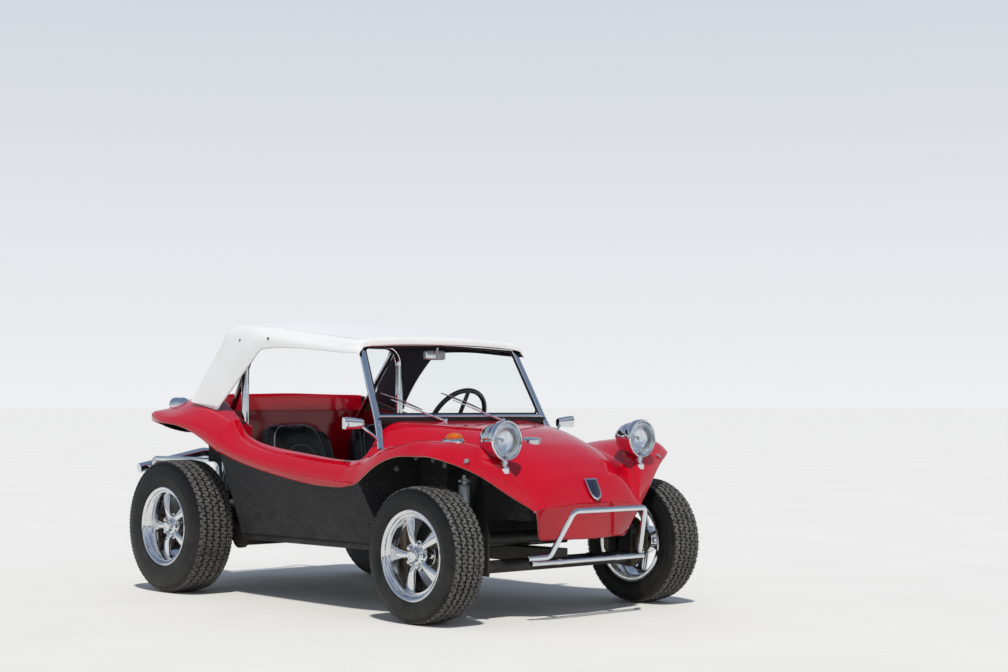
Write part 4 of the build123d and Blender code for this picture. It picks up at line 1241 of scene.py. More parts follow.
@dataclass
class Cushion:
    """A padded part: its round-cornered core, as rings along its length, before it is filled."""

    name: str
    # station or height of each ring's middle (station, y, z), then its half sizes across and through
    rings: Sequence[tuple[tuple[float, float, float], float, float]]
    along: tuple[float, float, float]
    square: float = 4.5
    voxel: float = 0.0055
    # how far the filling may move a point, and how high its pinned foot reaches
    cap: float = 0.022
    pinned_height: float = 0.012
    frames: int = 20

    def core(self) -> Shape:
        """The unfilled core."""
        rings = ((at(*middle), wide, deep) for middle, wide, deep in self.rings)
        return Shape().limb(rings, Vector(self.along), LEFT, 32, self.square)

    def build(self, finish: Finish) -> bpy.types.Object:
        """Make the filled cushion, its cover drawn tight by air pressure in a cloth simulation.

        Args:
            finish: its cover's finish.

        Returns:
            The cushion's object.
        """
        made = self.core().piece(self.name, "chassis", [finish], "black_vinyl")
        cut = made.modifiers.new("cut", "REMESH")
        cut.mode, cut.voxel_size = "VOXEL", self.voxel
        self.freeze(made)
        self.fill(made)
        for face in made.data.polygons:
            face.use_smooth = True
        return made

    @staticmethod
    def freeze(made: bpy.types.Object) -> None:
        """Turn an object's modified shape into its own mesh.

        Args:
            made: the object.
        """
        bpy.context.view_layer.update()
        seen = made.evaluated_get(bpy.context.evaluated_depsgraph_get())
        mesh = bpy.data.meshes.new_from_object(seen)
        made.modifiers.clear()
        made.data = mesh

    def fill(self, made: bpy.types.Object) -> None:
        """Blow the cover up, with each point's way limited.

        Args:
            made: the cushion.
        """
        before = [v.co.copy() for v in made.data.vertices]
        pins = made.vertex_groups.new(name="pinned")
        low = min(v.z for v in before) + self.pinned_height
        pins.add([i for i, v in enumerate(before) if v.z < low], 1.0, "REPLACE")
        cloth = made.modifiers.new("cover", "CLOTH")
        cloth.settings.quality, cloth.settings.mass = 4, 0.4
        cloth.settings.tension_stiffness = cloth.settings.compression_stiffness = 12
        cloth.settings.shear_stiffness, cloth.settings.bending_stiffness = 8, 1.2
        cloth.settings.use_pressure, cloth.settings.uniform_pressure_force = True, 4.0
        cloth.settings.vertex_group_mass = "pinned"
        cloth.settings.effector_weights.gravity = 0.0
        for number in range(self.frames):
            bpy.context.scene.frame_set(number + 1)
        self.freeze(made)
        for vert, start in zip(made.data.vertices, before):
            way = vert.co - start
            if way.length > self.cap:
                vert.co = start + way * (self.cap / way.length)
        bpy.context.scene.frame_set(1)


@dataclass
class Cabin:
    """Seats, instruments, red inner faces of the tub and the steering wheel's trim."""

    seat_middle: float = 300.0
    # the ways in which cushions and backs run
    level: tuple[float, float, float] = (-1, 0, 0)
    reclined: tuple[float, float, float] = (-0.17, 0, 1)

    def tub(self) -> None:
        """The tub's copy, black and textured outside and red on the faces that look at the cabin."""
        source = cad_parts["tub"]
        shape = Shape()
        shape.bm.from_mesh(source.data)
        bmesh.ops.transform(shape.bm, matrix=source.matrix_world, verts=shape.bm.verts)
        bmesh.ops.remove_doubles(shape.bm, verts=shape.bm.verts, dist=1e-5)
        bmesh.ops.recalc_face_normals(shape.bm, faces=shape.bm.faces)
        middle = Vector((0.1, 0.0, 0.8))
        for face in shape.bm.faces:
            inward = face.normal.dot(middle - face.calc_center_median())
            face.material_index = 1 if inward > 0.02 else 0
        shape.piece("tub_two_tone", "chassis", [Paint.TUB, Paint.RED], "black_tub", ["tub"], turn_out=False)

    def seats(self) -> None:
        """Two bucket seats: shell, cushion, bolstered back and piping."""
        y = self.seat_middle
        # station, height and half sizes of each ring
        cushion_rings = ((-92, 432, 196, 34), (-100, 440, 206, 48), (-180, 447, 214, 54),
                         (-330, 440, 216, 52), (-460, 428, 212, 50), (-505, 425, 204, 38))
        back_rings = ((-512, 430, 188, 36), (-522, 480, 204, 46), (-545, 600, 216, 50),
                      (-566, 720, 214, 48), (-584, 810, 207, 43), (-591, 846, 196, 39),
                      (-597, 870, 178, 34), (-601, 888, 152, 28), (-604, 900, 118, 21), (-605, 906, 84, 14))
        cushion, back = (
            Cushion(name, [((s, y, z), wide, deep) for s, z, wide, deep in rings], along, square)
            for name, rings, along, square in (("seat_cushion_left", cushion_rings, self.level, 4.5),
                                               ("seat_back_left", back_rings, self.reclined, 3.6)))
        self.twin(cushion.build(Paint.SEAT))
        covered = [back.build(Paint.SEAT)]
        self.twin(covered[0])
        covered += self.bolsters()
        self.piping(covered)
        shells = Shape()
        for side, _ in SIDES:
            shells.block(at(-500, side * y - 175, 310), at(-90, side * y + 175, 398), 0.012)
        shells.piece("seat_bases", "chassis", [Paint.FRAME], "black_vinyl", ["bucket_seats"])

    def bolsters(self) -> list[bpy.types.Object]:
        """Make the raised rolls along both sides of each cushion and back.

        Returns:
            Those of the left seat.
        """
        # station, distance from the seat's middle, height, and half sizes of each ring
        roll = ((-95, 196, 452, 20, 26), (-110, 198, 462, 28, 38), (-300, 198, 470, 30, 44),
                (-480, 196, 478, 30, 46), (-520, 192, 480, 24, 36))
        wing = ((-500, 196, 500, 24, 40), (-508, 200, 560, 28, 52), (-526, 200, 680, 28, 52),
                (-552, 188, 800, 26, 42), (-572, 168, 850, 20, 28))
        made = []
        for kind, table, along in (("roll", roll, self.level), ("wing", wing, self.reclined)):
            for place, side in (("outer", 1), ("inner", -1)):
                rings = [((s, self.seat_middle + side * y, z), wide, deep) for s, y, z, wide, deep in table]
                cushion = Cushion(f"seat_{kind}_{place}_left", rings, along, 2.3, voxel=0.006, cap=0.008)
                made.append(cushion.build(Paint.SEAT))
                self.twin(made[-1])
        return made

    @staticmethod
    def twin(made: bpy.types.Object) -> None:
        """Make the same cushion in the other seat.

        Args:
            made: the left seat's cushion.
        """
        shape = Shape()
        shape.bm.from_mesh(made.data)
        bmesh.ops.transform(shape.bm, matrix=Matrix.Diagonal((1, -1, 1, 1)), verts=shape.bm.verts)
        other = shape.piece(made.name.replace("_left", "_right"), "chassis", [Paint.SEAT], "black_vinyl",
                            sharp=180.0)

    def piping(self, covered: Sequence[bpy.types.Object]) -> None:
        """Make the light piping round each back and its arched inner panel, laid on the filled cushions.

        Args:
            covered: the left seat's back and rolls.
        """
        trees = [BVHTree.FromPolygons([v.co for v in o.data.vertices],
                                      [p.vertices for p in o.data.polygons]) for o in covered]
        y, lift = self.seat_middle, 0.0012
        rim = [(150, 480), (158, 600), (160, 720), (154, 800), (136, 850), (96, 882), (0, 893)]
        arch = [(100, 500), (104, 640), (92, 735), (56, 775), (0, 786)]
        shape = Shape()
        for half, radius in ((rim, 0.003), (arch, 0.0025)):
            corners = [at(-300, y + across, z) for across, z in half]
            corners += [at(-300, y - across, z) for across, z in reversed(half[:-1])]
            line = []
            fine = self.finely(corners)
            for first, second in zip(fine, fine[1:]):
                for share in (0.0, 0.5):
                    start = first.lerp(second, share)
                    hits = [hit[0] for hit in (tree.ray_cast(start, BACK, 0.5) for tree in trees) if hit[0]]
                    if hits:
                        line.append(max(hits, key=lambda place: place.x) - BACK * lift)
            for mirror in (1, -1):
                shape.tube([Vector((v.x, v.y * mirror, v.z)) for v in line], radius, 0.01, 3)
        shape.piece("seat_piping", "chassis", [Paint.PIPING], "black_vinyl")

    @staticmethod
    def finely(corners: Sequence[Vector]) -> list[Vector]:
        """Points along a rounded line, close together.

        Args:
            corners: the line's corners.

        Returns:
            The points.
        """
        line = Shape.rounded(corners, 0.09, 8.0)
        return [a.lerp(b, i / 6) for a, b in zip(line, line[1:]) for i in range(6)] + [line[-1]]

    def instruments(self) -> None:
        """Two round gauges with bezels, faces, ticks and pointers, and a row of knobs."""
        shape = Shape()
        half_tick = Vector((0.0006, 0.0011, 0.005))
        for y in (270, 390):
            centre = at(479, y, 826)
            shape.lathe(centre, BACK, [
                (-0.004, 0.046), (0.004, 0.048), (0.01, 0.047), (0.012, 0.043), (0.008, 0.041),
                (-0.004, 0.041)], 40, 0, closed=True)
            shape.lathe(centre, BACK, [(0.002, 0.0), (0.002, 0.0415), (0.0, 0.0415), (0.0, 0.0)], 40, 1)
            first = len(shape.bm.faces)
            tick = centre + Vector((-0.0025, 0, 0.034))
            shape.block(tick - half_tick, tick + half_tick, material=2)
            shape.around(centre, BACK, 12, first)
            shape.mark(first, 2)
            shape.rod(centre + Vector((-0.004, 0.008, -0.01)), centre + Vector((-0.004, -0.02, 0.026)),
                      0.0014, 0.0006, 8, material=2)
            shape.rod(centre + Vector((-0.002, 0, 0)), centre + Vector((-0.007, 0, 0)), 0.005, segments=16,
                      round_off=0.001, material=0)
        for y in (150, 190, -60, -120):
            shape.rod(at(494, y, 815), at(474, y, 815), 0.007, 0.009, 20, round_off=0.002)
        shape.piece("dash_gauges", "chassis", [Paint.CHROME, Paint.DIAL, Paint.IVORY], "bright_chrome")

    def wheel_trim(self) -> None:
        """Horn button with its bolts, and ringed holes along the steering wheel's spokes."""
        slope = math.radians(30)
        toward = Vector((-math.cos(slope), 0, math.sin(slope)))
        centre = at(37, 330, 917)
        shape = Shape().lathe(centre, toward, [
            (0.004, 0.0), (0.004, 0.034), (0.01, 0.033), (0.016, 0.024), (0.02, 0.02),
            (0.022, 0.01), (0.0225, 0.0)], 40)
        first = len(shape.bm.faces)
        bolt = centre + Vector((0, 0.027, 0)) + toward * 0.008
        shape.rod(bolt, bolt + toward * 0.006, 0.0035, segments=6, round_off=0.0006, material=1)
        shape.around(centre, toward, 6, first)
        across = toward.cross(LEFT)
        for spoke in (LEFT, -LEFT, -across):
            for reach, radius in ((0.062, 0.0075), (0.088, 0.0065), (0.112, 0.0055)):
                hole = centre + spoke * reach + toward * -0.0012
                shape.lathe(hole, toward, [
                    (0.0, radius), (0.0008, radius + 0.0012), (0.0014, radius + 0.0006),
                    (0.0006, radius - 0.001), (0.0, 0.0)], 20, 2)
        shape.piece("wheel_trim", "steering_wheel_body", [Paint.GRIP, Paint.STEEL, Paint.DIAL],
                    "black_grip")

    def build(self) -> None:
        """Make them all."""
        self.tub()
        self.seats()
        self.instruments()
        self.wheel_trim()


# Lamps


@dataclass
class Lamps:
    """Headlamps on stems, amber side lamps and tail lamps."""

    station: float = 1270
    side: float = 451
    height: float = 830

    # place of the side lamps' and tail lamps' foot
    drop_place: tuple[float, float, float] = (1060, 600, 815)
    tail_place: tuple[float, float, float] = (-1262, 545, 998)

    @staticmethod
    def node(name: str, side: int) -> list[str]:
        """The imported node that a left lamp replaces; one node holds both sides."""
        return [name] if side > 0 else []

    def headlamp(self, side: int) -> None:
        """Make the bucket, ring, reflector, bulb with its shield, and the fluted lens.

        Args:
            side: 1 for the left, -1 for the right.
        """
        centre = at(self.station, side * self.side, self.height)
        shape = Shape()
        bucket = [(-0.16, 0.0), (-0.158, 0.016), (-0.15, 0.034), (-0.136, 0.052), (-0.116, 0.066),
                  (-0.09, 0.076), (-0.06, 0.081), (-0.04, 0.082), (-0.038, 0.088), (-0.034, 0.091),
                  (-0.012, 0.0935), (-0.004, 0.094), (0.002, 0.0925), (0.005, 0.089), (0.004, 0.0855),
                  (0.0, 0.084), (-0.006, 0.0835)]
        dish = [(-0.008, 0.0832), (-0.02, 0.078), (-0.036, 0.066), (-0.05, 0.05), (-0.059, 0.032),
                (-0.063, 0.012), (-0.063, 0.0)]
        shape.lathe(centre, AHEAD, bucket, 64)
        shape.lathe(centre, AHEAD, [bucket[-1], *dish], 64, 2)
        # socket, bulb and shield
        for profile, steps, material in (
            ([(-0.063, 0.01), (-0.052, 0.01), (-0.05, 0.007), (-0.05, 0.0)], 20, 0),
            ([(-0.05, 0.006), (-0.04, 0.009), (-0.03, 0.009), (-0.024, 0.005), (-0.023, 0.0)], 20, 1),
            ([(-0.022, 0.0), (-0.02, 0.01), (-0.018, 0.013), (-0.0165, 0.013), (-0.0168, 0.0)], 24, 0),
        ):
            shape.lathe(centre, AHEAD, profile, steps, material)
        for way in (1, -1):
            shape.rod(centre + Vector((-0.019, 0, way * 0.012)),
                      centre + Vector((-0.03, 0, way * 0.07)), 0.0012, segments=8)
        foot, under = at(1253, side * 450, 690), at(1246, side * 450, 766)
        shape.lathe(foot, under - foot, [
            (-0.012, 0.0), (-0.012, 0.0205), (0.012, 0.0225), (0.018, 0.0185), (0.022, 0.012),
            (0.03, 0.0115), (0.032, 0.0185), (0.046, 0.0185), (0.048, 0.012), (0.074, 0.011),
            (0.076, 0.0)], 32)
        name = dict(SIDES)[side]
        shape.piece(f"headlamp_{name}", "chassis", [Paint.CHROME, Paint.IVORY, Paint.REFLECTOR],
                    "bright_chrome", self.node("headlamp_buckets", side))
        lens = Shape().lathe(centre, AHEAD, [
            (-0.004, 0.0838), (0.001, 0.0835), (0.007, 0.07), (0.012, 0.048), (0.015, 0.024), (0.016, 0.0),
            (0.013, 0.0), (0.012, 0.024), (0.009, 0.048), (0.004, 0.069), (-0.003, 0.081)], 64)
        lens.piece(f"headlamp_glass_{name}", "chassis", [Paint.LENS], "lamp_glass",
                   self.node("headlamp_lenses", side))

    def drop(self, side: int) -> None:
        """Make a teardrop side lamp: bright base with a pointed tail, amber lens ahead.

        Args:
            side: 1 for the left, -1 for the right.
        """
        station, y, z = self.drop_place[0], side * self.drop_place[1], self.drop_place[2]
        # station from the middle, and half sizes of each ring
        base_rings = ((-78, 2, 3), (-64, 10, 9), (-44, 20, 15), (-18, 28, 19), (10, 32, 21), (36, 33, 20),
                      (52, 30, 17), (58, 21, 10))
        lens_rings = ((-36, 10, 8), (-24, 21, 20), (-6, 27, 27), (16, 29, 29), (36, 28, 27), (51, 23, 20),
                      (54, 14, 10))
        for part, finish, slot, node, rings, rise, square in (
            ("base", Paint.CHROME, "bright_chrome", "turn_signal_bases", base_rings, 10, 2.2),
            ("lens", Paint.AMBER, "amber_lens", "turn_signal_lenses", lens_rings, 23, 2.4),
        ):
            shape = Shape().limb(((at(station + x, y, z + rise), wide, high) for x, wide, high in rings),
                                 AHEAD, LEFT, 28, square)
            if part == "base":
                screw = at(station - 46, y, z + 20)
                shape.rod(screw, screw + UP * 0.009, 0.0035, segments=12, round_off=0.0008)
            shape.piece(f"side_lamp_{part}_{dict(SIDES)[side]}", "chassis", [finish], slot,
                        self.node(node, side), sharp=60)

    def tail(self, side: int) -> None:
        """Make a bullet tail lamp: bright bucket, rim and ruby lens with its inner rings, on its foot.

        Args:
            side: 1 for the left, -1 for the right.
        """
        rear = Vector((-1, 0, -0.04)).normalized()
        y = side * self.tail_place[1]
        start = at(self.tail_place[0], y, self.tail_place[2])
        shape = Shape().lathe(start, rear, [
            (-0.0395, 0.0), (-0.0385, 0.01), (-0.034, 0.021), (-0.026, 0.03), (-0.013, 0.0375),
            (0.0, 0.04), (0.06, 0.04), (0.064, 0.0425), (0.074, 0.0425), (0.078, 0.0395),
            (0.076, 0.036), (0.06, 0.036), (0.06, 0.0)], 48)
        shape.lathe(start, rear, [
            (0.062, 0.0355), (0.08, 0.0345), (0.086, 0.0285), (0.084, 0.024), (0.088, 0.019),
            (0.086, 0.012), (0.091, 0.0), (0.062, 0.0)], 48, 1)
        shape.block(at(-1330, y - 22, 942), at(-1250, y + 22, 968), 0.006)
        shape.piece(f"tail_lamp_{dict(SIDES)[side]}", "chassis", [Paint.CHROME, Paint.RUBY],
                    "bright_chrome", self.node("tail_lamps", side))

    def build(self) -> None:
        """Make all lamps of both sides."""
        for side, _ in SIDES:
            self.headlamp(side)
            self.drop(side)
            self.tail(side)


# Windshield


@dataclass
class Windshield:
    """Bright frame with rounded rails, black gasket, wipers and mirrors."""

    bottom: tuple[float, float] = (448, 948)
    top: tuple[float, float] = (280, 1279)

    def point(self, y: float, up: float, out: float = 0.0) -> Vector:
        """A point in the frame's leaning plane, or ahead of it, in millimetres.

        Args:
            y: how far to the left of the middle.
            up: how far up along the plane from its foot.
            out: how far ahead of the plane.

        Returns:
            The point.
        """
        foot, head = at(self.bottom[0], 0, self.bottom[1]), at(self.top[0], 0, self.top[1])
        rise = (head - foot).normalized()
        ahead = Vector((rise.z, 0, -rise.x))
        return foot + Vector((0, y / 1000, 0)) + rise * (up / 1000) + ahead * (out / 1000)

    @property
    def normal(self) -> Vector:
        """The direction square to the frame's plane, to the front."""
        return (self.point(0, 0, 1) - self.point(0, 0)).normalized()

    @property
    def rise(self) -> float:
        """The plane's length from its foot to its top."""
        return math.hypot(self.top[0] - self.bottom[0], self.top[1] - self.bottom[1])

    def bar(self, shape: Shape, points: Sequence[tuple[float, float]], half: float,
            depth: float = 12.0) -> None:
        """Add a rounded rail of the frame.

        Args:
            shape: the frame.
            points: (across, up) of the rail's middle line, in the frame's plane.
            half: half the rail's width in the plane.
            depth: half its depth.
        """
        places = [self.point(y, up) for y, up in points]
        normal = self.normal
        rings = []
        for index, place in enumerate(places):
            ahead = places[min(index + 1, len(places) - 1)] - places[max(index - 1, 0)]
            rings.append((placed(place, ahead, normal), depth / 1000, half / 1000))
        shape.loops(rings, 20, 3.2)

    def frame_rails(self) -> None:
        """Pillars with their legs, top and bottom rails, and the legs' bolts."""
        shape, rise = Shape(), self.rise
        self.bar(shape, [(-560, -13), (0, -13), (560, -13)], 9)
        crowned = ((-505, 10), (-300, 21), (0, 30), (300, 21), (505, 10))
        self.bar(shape, [(y, rise + crown) for y, crown in crowned], 12)
        for side, _ in SIDES:
            self.bar(shape, [
                (side * 593, -190), (side * 573, -110), (side * 557, -20), (side * 536, rise * 0.5),
                (side * 513, rise + 6), (side * 509, rise + 14)], 17)
            for y, up in ((566, -60), (578, -120)):
                bolt = self.point(side * y, up, 10)
                shape.rod(bolt, bolt + self.normal * 0.006, 0.007, segments=6, round_off=0.001)
        shape.piece("windshield_rails", "chassis", [Paint.CHROME], "bright_chrome", ["windshield_frame"],
                    sharp=50)

    def rubber(self) -> None:
        """The gasket round the pane and the sill strip under the frame."""
        rise = self.rise
        loop = ((0, 1), (534, 1), (494, rise - 1), (0, rise + 16), (-494, rise - 1), (-534, 1), (0, 1))
        shape = Shape().tube([self.point(*corner) for corner in loop], 0.0062, 0.03, 4)
        sill = ((self.point(y, -37 - abs(y) * 0.004), 18.5, 10)
                for y in (-560, -400, -200, 0, 200, 400, 560))
        shape.limb(sill, LEFT, UP, 16, 3.0)
        shape.piece("windshield_rubber", "chassis", [Paint.SEAL], "black_grip")

    def wipers(self) -> None:
        """Two arms with chrome pivots and black blades, parked low on the glass."""
        shape = Shape()
        for pivot_y, tip_y in ((-150, -510), (240, -110)):
            base = at(492, pivot_y, 903)
            up = Vector((0.35, 0, 1)).normalized()
            shape.lathe(base, up, [
                (-0.018, 0.0), (-0.018, 0.016), (0.0, 0.0165), (0.004, 0.012), (0.016, 0.0095),
                (0.022, 0.0085), (0.026, 0.005), (0.027, 0.0)], 28)
            tip = at(436, tip_y + 60, 1020)
            knee = base + Vector((-0.006, -0.06, 0.032))
            head = base + up * 0.012
            # share of the arm's length, and half its width there
            widths = ((0.0, 6.5), (0.18, 6.0), (0.4, 4.2), (0.7, 3.4), (1.0, 2.6))
            shape.limb(((head.lerp(tip, share), wide, 2.2) for share, wide in widths), tip - head, UP, 10,
                       3.0)
            shape.rod(knee, knee + Vector((-0.001, -0.012, 0.004)), 0.006, segments=12, round_off=0.001)
            low, high = at(456, tip_y + 240, 972), at(426, tip_y, 1052)
            # share of the blade's length, and how far its spine stands off forward and up
            bow = ((0, 0, 0), (0.25, 0.006, 0.002), (0.5, 0.009, 0.003), (0.75, 0.006, 0.002), (1, 0, 0))
            shape.tube([low.lerp(high, share) + Vector((off, 0, lift)) for share, off, lift in bow],
                       0.0022, 0.05, 3)
            blade = [(placed(low.lerp(high, share), high - low, AHEAD) @ Matrix.Translation((-0.004, 0, 0)),
                      0.0045, 0.0016) for share in (-0.02, 0.5, 1.02)]
            shape.loops(blade, 8, 4.0, material=1)
        shape.piece("wiper_arms", "chassis", [Paint.CHROME, Paint.SEAL], "bright_chrome", ["wipers"])

    def mirrors(self) -> None:
        """Door mirrors with tapered shells and plain faces, and the inside mirror."""
        shape = Shape()
        for side, _ in SIDES:
            out = Vector((0.05, side, 0)).normalized()
            # distance out, height, and half sizes of each ring
            heads = ((656, 901, 20, 13), (664, 902, 24, 15), (700, 904, 27, 16), (745, 906, 31, 16),
                     (764, 906, 31, 15), (770, 906, 27, 11))
            shape.limb(((at(470, side * y, z), tall, deep) for y, z, tall, deep in heads), out, UP, 28, 4.5)
            glass = ((668, 902, 20), (704, 904, 24), (758, 906, 27))
            shape.limb(((at(453.5, side * y, z), tall, 1.2) for y, z, tall in glass), out, UP, 16, 6.0, 1)
            shape.tube([at(516, side * 584, 812), at(505, side * 604, 838), at(476, side * 668, 893)],
                       0.0075, 0.02, 4)
            shape.rod(at(517, side * 579, 806), at(513, side * 592, 822), 0.015, 0.01, 20, round_off=0.003)
        inner = ((-66, 20), (-58, 24), (0, 25), (58, 24), (66, 20))
        shape.limb(((at(234, y, 1250), tall, 10) for y, tall in inner), LEFT, UP, material=2)
        shape.tube([at(246, 0, 1256), at(256, 0, 1276), at(268, 0, 1296)], 0.005, 0.02, 4)
        shape.piece("mirror_set", "chassis", [Paint.CHROME, Paint.MIRROR, Paint.SILVER], "bright_chrome",
                    ["mirrors"])

    def build(self) -> None:
        """Make the frame, its rubber, the wipers and the mirrors."""
        self.frame_rails()
        self.rubber()
        self.wipers()
        self.mirrors()


# Small trim


@dataclass
class Trim:
    """Badge, filler cap, arch bolts, sill strips, shock absorbers, calipers and engine dress."""

    bolt_radius: float = 0.01
    front_axle: tuple[float, float] = (1.131, 0.312)
    # station of the engine's middle line and height of its crank
    engine_station: float = -1300
    crank: float = 0.376

    def badge(self) -> None:
        """A blank enamelled shield with a bright rim, following the nose's slope."""
        slope = Vector((52, 0, -97)).normalized()
        normal = Vector((-slope.z, 0, slope.x))
        seat = Matrix((LEFT, slope * -1, normal)).transposed().to_4x4()
        seat.translation = at(1373, 3, 597) + normal * 0.007
        outline = [(-38, 55), (0, 55), (38, 55), (36, -4), (33, -26), (22, -44), (0, -56), (-22, -44),
                   (-33, -26), (-36, -4)]
        shape = Shape()
        # rim, then field: size, and where it starts and ends above the seat
        for grow, low, high, material in ((1.0, -0.004, 0.0035, 1), (0.86, 0.0, 0.0055, 0)):
            start = len(shape.bm.faces)
            corners = [Vector((x * grow / 1000, y * grow / 1000, low)) for x, y in outline]
            verts = [shape.bm.verts.new(seat @ corner) for corner in corners]
            face = bmesh.ops.contextual_create(shape.bm, geom=verts)["faces"][0]
            grown = bmesh.ops.extrude_face_region(shape.bm, geom=[face])["geom"]
            tops = [g for g in grown if isinstance(g, bmesh.types.BMVert)]
            bmesh.ops.translate(shape.bm, verts=tops, vec=normal * (high - low))
            edges = once(e for v in tops for e in v.link_edges)
            shape.soften([e for e in edges if all(v in tops for v in e.verts)], 0.0014)
            shape.mark(start, material)
        shape.piece("nose_shield", "chassis", [Paint.BADGE, Paint.CHROME], "dark_badge", ["shield_plate"])

    def filler(self) -> None:
        """The domed filler cap with its knurled edge and neck."""
        centre, up = at(1062, -105, 814), Vector((0.1, -0.05, 1)).normalized()
        shape = Shape().lathe(centre, up, [
            (-0.006, 0.0), (-0.006, 0.05), (0.004, 0.051), (0.006, 0.0475), (0.016, 0.0475),
            (0.02, 0.044), (0.024, 0.03), (0.026, 0.0)], 56)
        first = len(shape.bm.faces)
        grip, half_grip = centre + Vector((0.0482, 0, 0.011)), Vector((0.0012, 0.0016, 0.005))
        shape.block(grip - half_grip, grip + half_grip, 0.0005, 1)
        shape.around(centre, up, 36, first)
        shape.piece("filler_cap", "chassis", [Paint.CHROME], "bright_chrome", ["fuel_cap"])

    def bolts(self) -> None:
        """Washers and bolt heads under the arches, and the strips along each sill."""
        shape = Shape()
        # station, y, z and the way the head faces
        heads = [(601, 550, 690, (1, 0, 0)), (601, 430, 740, (1, 0, 0)), (700, 406, 730, (0, 1, 0)),
                 (785, 406, 708, (0, 1, 0)), (1200, 640, 740, (0, 0.6, 1))]
        for station, y, z, way in heads:
            for side, _ in SIDES:
                place = at(station, side * y, z)
                out = Vector((way[0], side * way[1], way[2])).normalized()
                washer, head = self.bolt_radius * 1.5, self.bolt_radius
                shape.rod(place - out * 0.004, place + out * 0.0022, washer, segments=24, round_off=0.0006)
                shape.rod(place, place + out * 0.008, head, head * 0.9, 6, round_off=0.0012)
        shape.piece("arch_bolts", "chassis", [Paint.SILVER], "link_steel")
        strip = Shape()
        for side, _ in SIDES:
            # how far out, from what height to what height, and the edges' rounding
            for reach, foot, head, edge in ((613, 296, 324, 0.004), (608, 334, 340, 0.002)):
                low, high = sorted((side * 598, side * reach))
                strip.block(at(-585, low, foot), at(585, high, head), edge)
        strip.piece("sill_strips", "chassis", [Paint.FRAME], "black_steel")

    def shocks(self) -> None:
        """Front and rear shock absorbers: body, shaft, bushes, washers and nuts."""
        shape = Shape()
        for side, _ in SIDES:
            for foot, head, radius in ((at(1056, side * 534, 247), at(1070, side * 534, 644), 0.0262),
                                       (at(-975, side * 500, 352), at(-868, side * 500, 690), 0.0225)):
                way, run = (head - foot).length, (head - foot).normalized()
                shape.lathe(foot, run, [
                    (0.0, 0.0), (0.0, 0.008), (0.025, 0.008), (0.045, radius * 0.8),
                    (0.052, radius - 0.003), (way * 0.45, radius - 0.003), (way * 0.46, radius),
                    (way - 0.024, radius), (way - 0.018, radius - 0.004), (way - 0.016, 0.013),
                    (way + 0.006, 0.013), (way + 0.008, 0.019), (way + 0.012, 0.019),
                    (way + 0.014, 0.009), (way + 0.026, 0.009), (way + 0.028, 0.0)], 32)
                across = LEFT * 0.022
                for place in (foot, head):
                    shape.rod(place - across, place + across, 0.013, segments=24, round_off=0.002,
                              material=1)
                    shape.rod(place - across * 1.4, place + across * 1.4, 0.007, segments=6, material=2)
        shape.piece("shock_set", "chassis", [Paint.SILVER, Paint.SEAL, Paint.STEEL], "silver_paint",
                    ["shock_absorbers"])

    def calipers(self) -> None:
        """Front brake calipers round the discs, on the knuckles: bracket, bridge and body."""
        # (x, z) of two corners from the axle, how far out they lie, and the edges' rounding
        blocks = (((-0.15, -0.055), (-0.098, 0.055), (0.598, 0.606), 0.003),
                  ((-0.154, -0.048), (-0.138, 0.048), (0.598, 0.65), 0.004),
                  ((-0.15, -0.05), (-0.098, 0.05), (0.6295, 0.65), 0.006))
        x, z = self.front_axle
        for side, name in SIDES:
            shape = Shape()
            for low, high, reach, edge in blocks:
                inner, outer = sorted(side * y for y in reach)
                shape.block((x + low[0], inner, z + low[1]), (x + high[0], outer, z + high[1]), edge)
            shape.piece(f"caliper_{name}", f"knuckle_{name}_body", [Paint.DISC], "cast_grey")

    def engine(self) -> None:
        """Carburettor, air cleaner, inlet pipes and rocker covers on the flat four."""
        # height above the crank, steps, material and profile
        turned = (
            (0.095, 32, 1, [(0.0, 0.0), (0.0, 0.034), (0.012, 0.034), (0.016, 0.026), (0.06, 0.026),
                            (0.064, 0.036), (0.11, 0.036), (0.116, 0.024), (0.132, 0.024), (0.134, 0.0)]),
            (0.232, 48, 0, [(0.0, 0.0), (0.0, 0.07), (0.006, 0.074), (0.012, 0.07), (0.014, 0.064),
                            (0.044, 0.064), (0.048, 0.07), (0.054, 0.073), (0.06, 0.068), (0.064, 0.02),
                            (0.074, 0.01), (0.074, 0.0)]),
        )
        shape = Shape()
        for height, steps, material, profile in turned:
            shape.lathe(at(self.engine_station, 0, 0) + UP * (self.crank + height), UP, profile, steps,
                        material)
        cover = ((-1136, 44), (-1150, 52), (-1285, 54), (-1420, 52), (-1434, 44))
        for side, _ in SIDES:
            shape.tube([at(-1300, side * 20, 480), at(-1290, side * 120, 486), at(-1285, side * 250, 480),
                        at(-1285, side * 290, 440)], 0.017, 0.05, 4, 1)
            shape.limb(((at(station, side * 338, 372), tall, 16) for station, tall in cover), BACK, UP)
        shape.piece("engine_dress", "chassis", [Paint.CHROME, Paint.CAST], "engine_alloy", sharp=50)

    def build(self) -> None:
        """Make them all."""
        self.badge()
        self.filler()
        self.bolts()
        self.shocks()
        self.calipers()
        self.engine()


# Stage


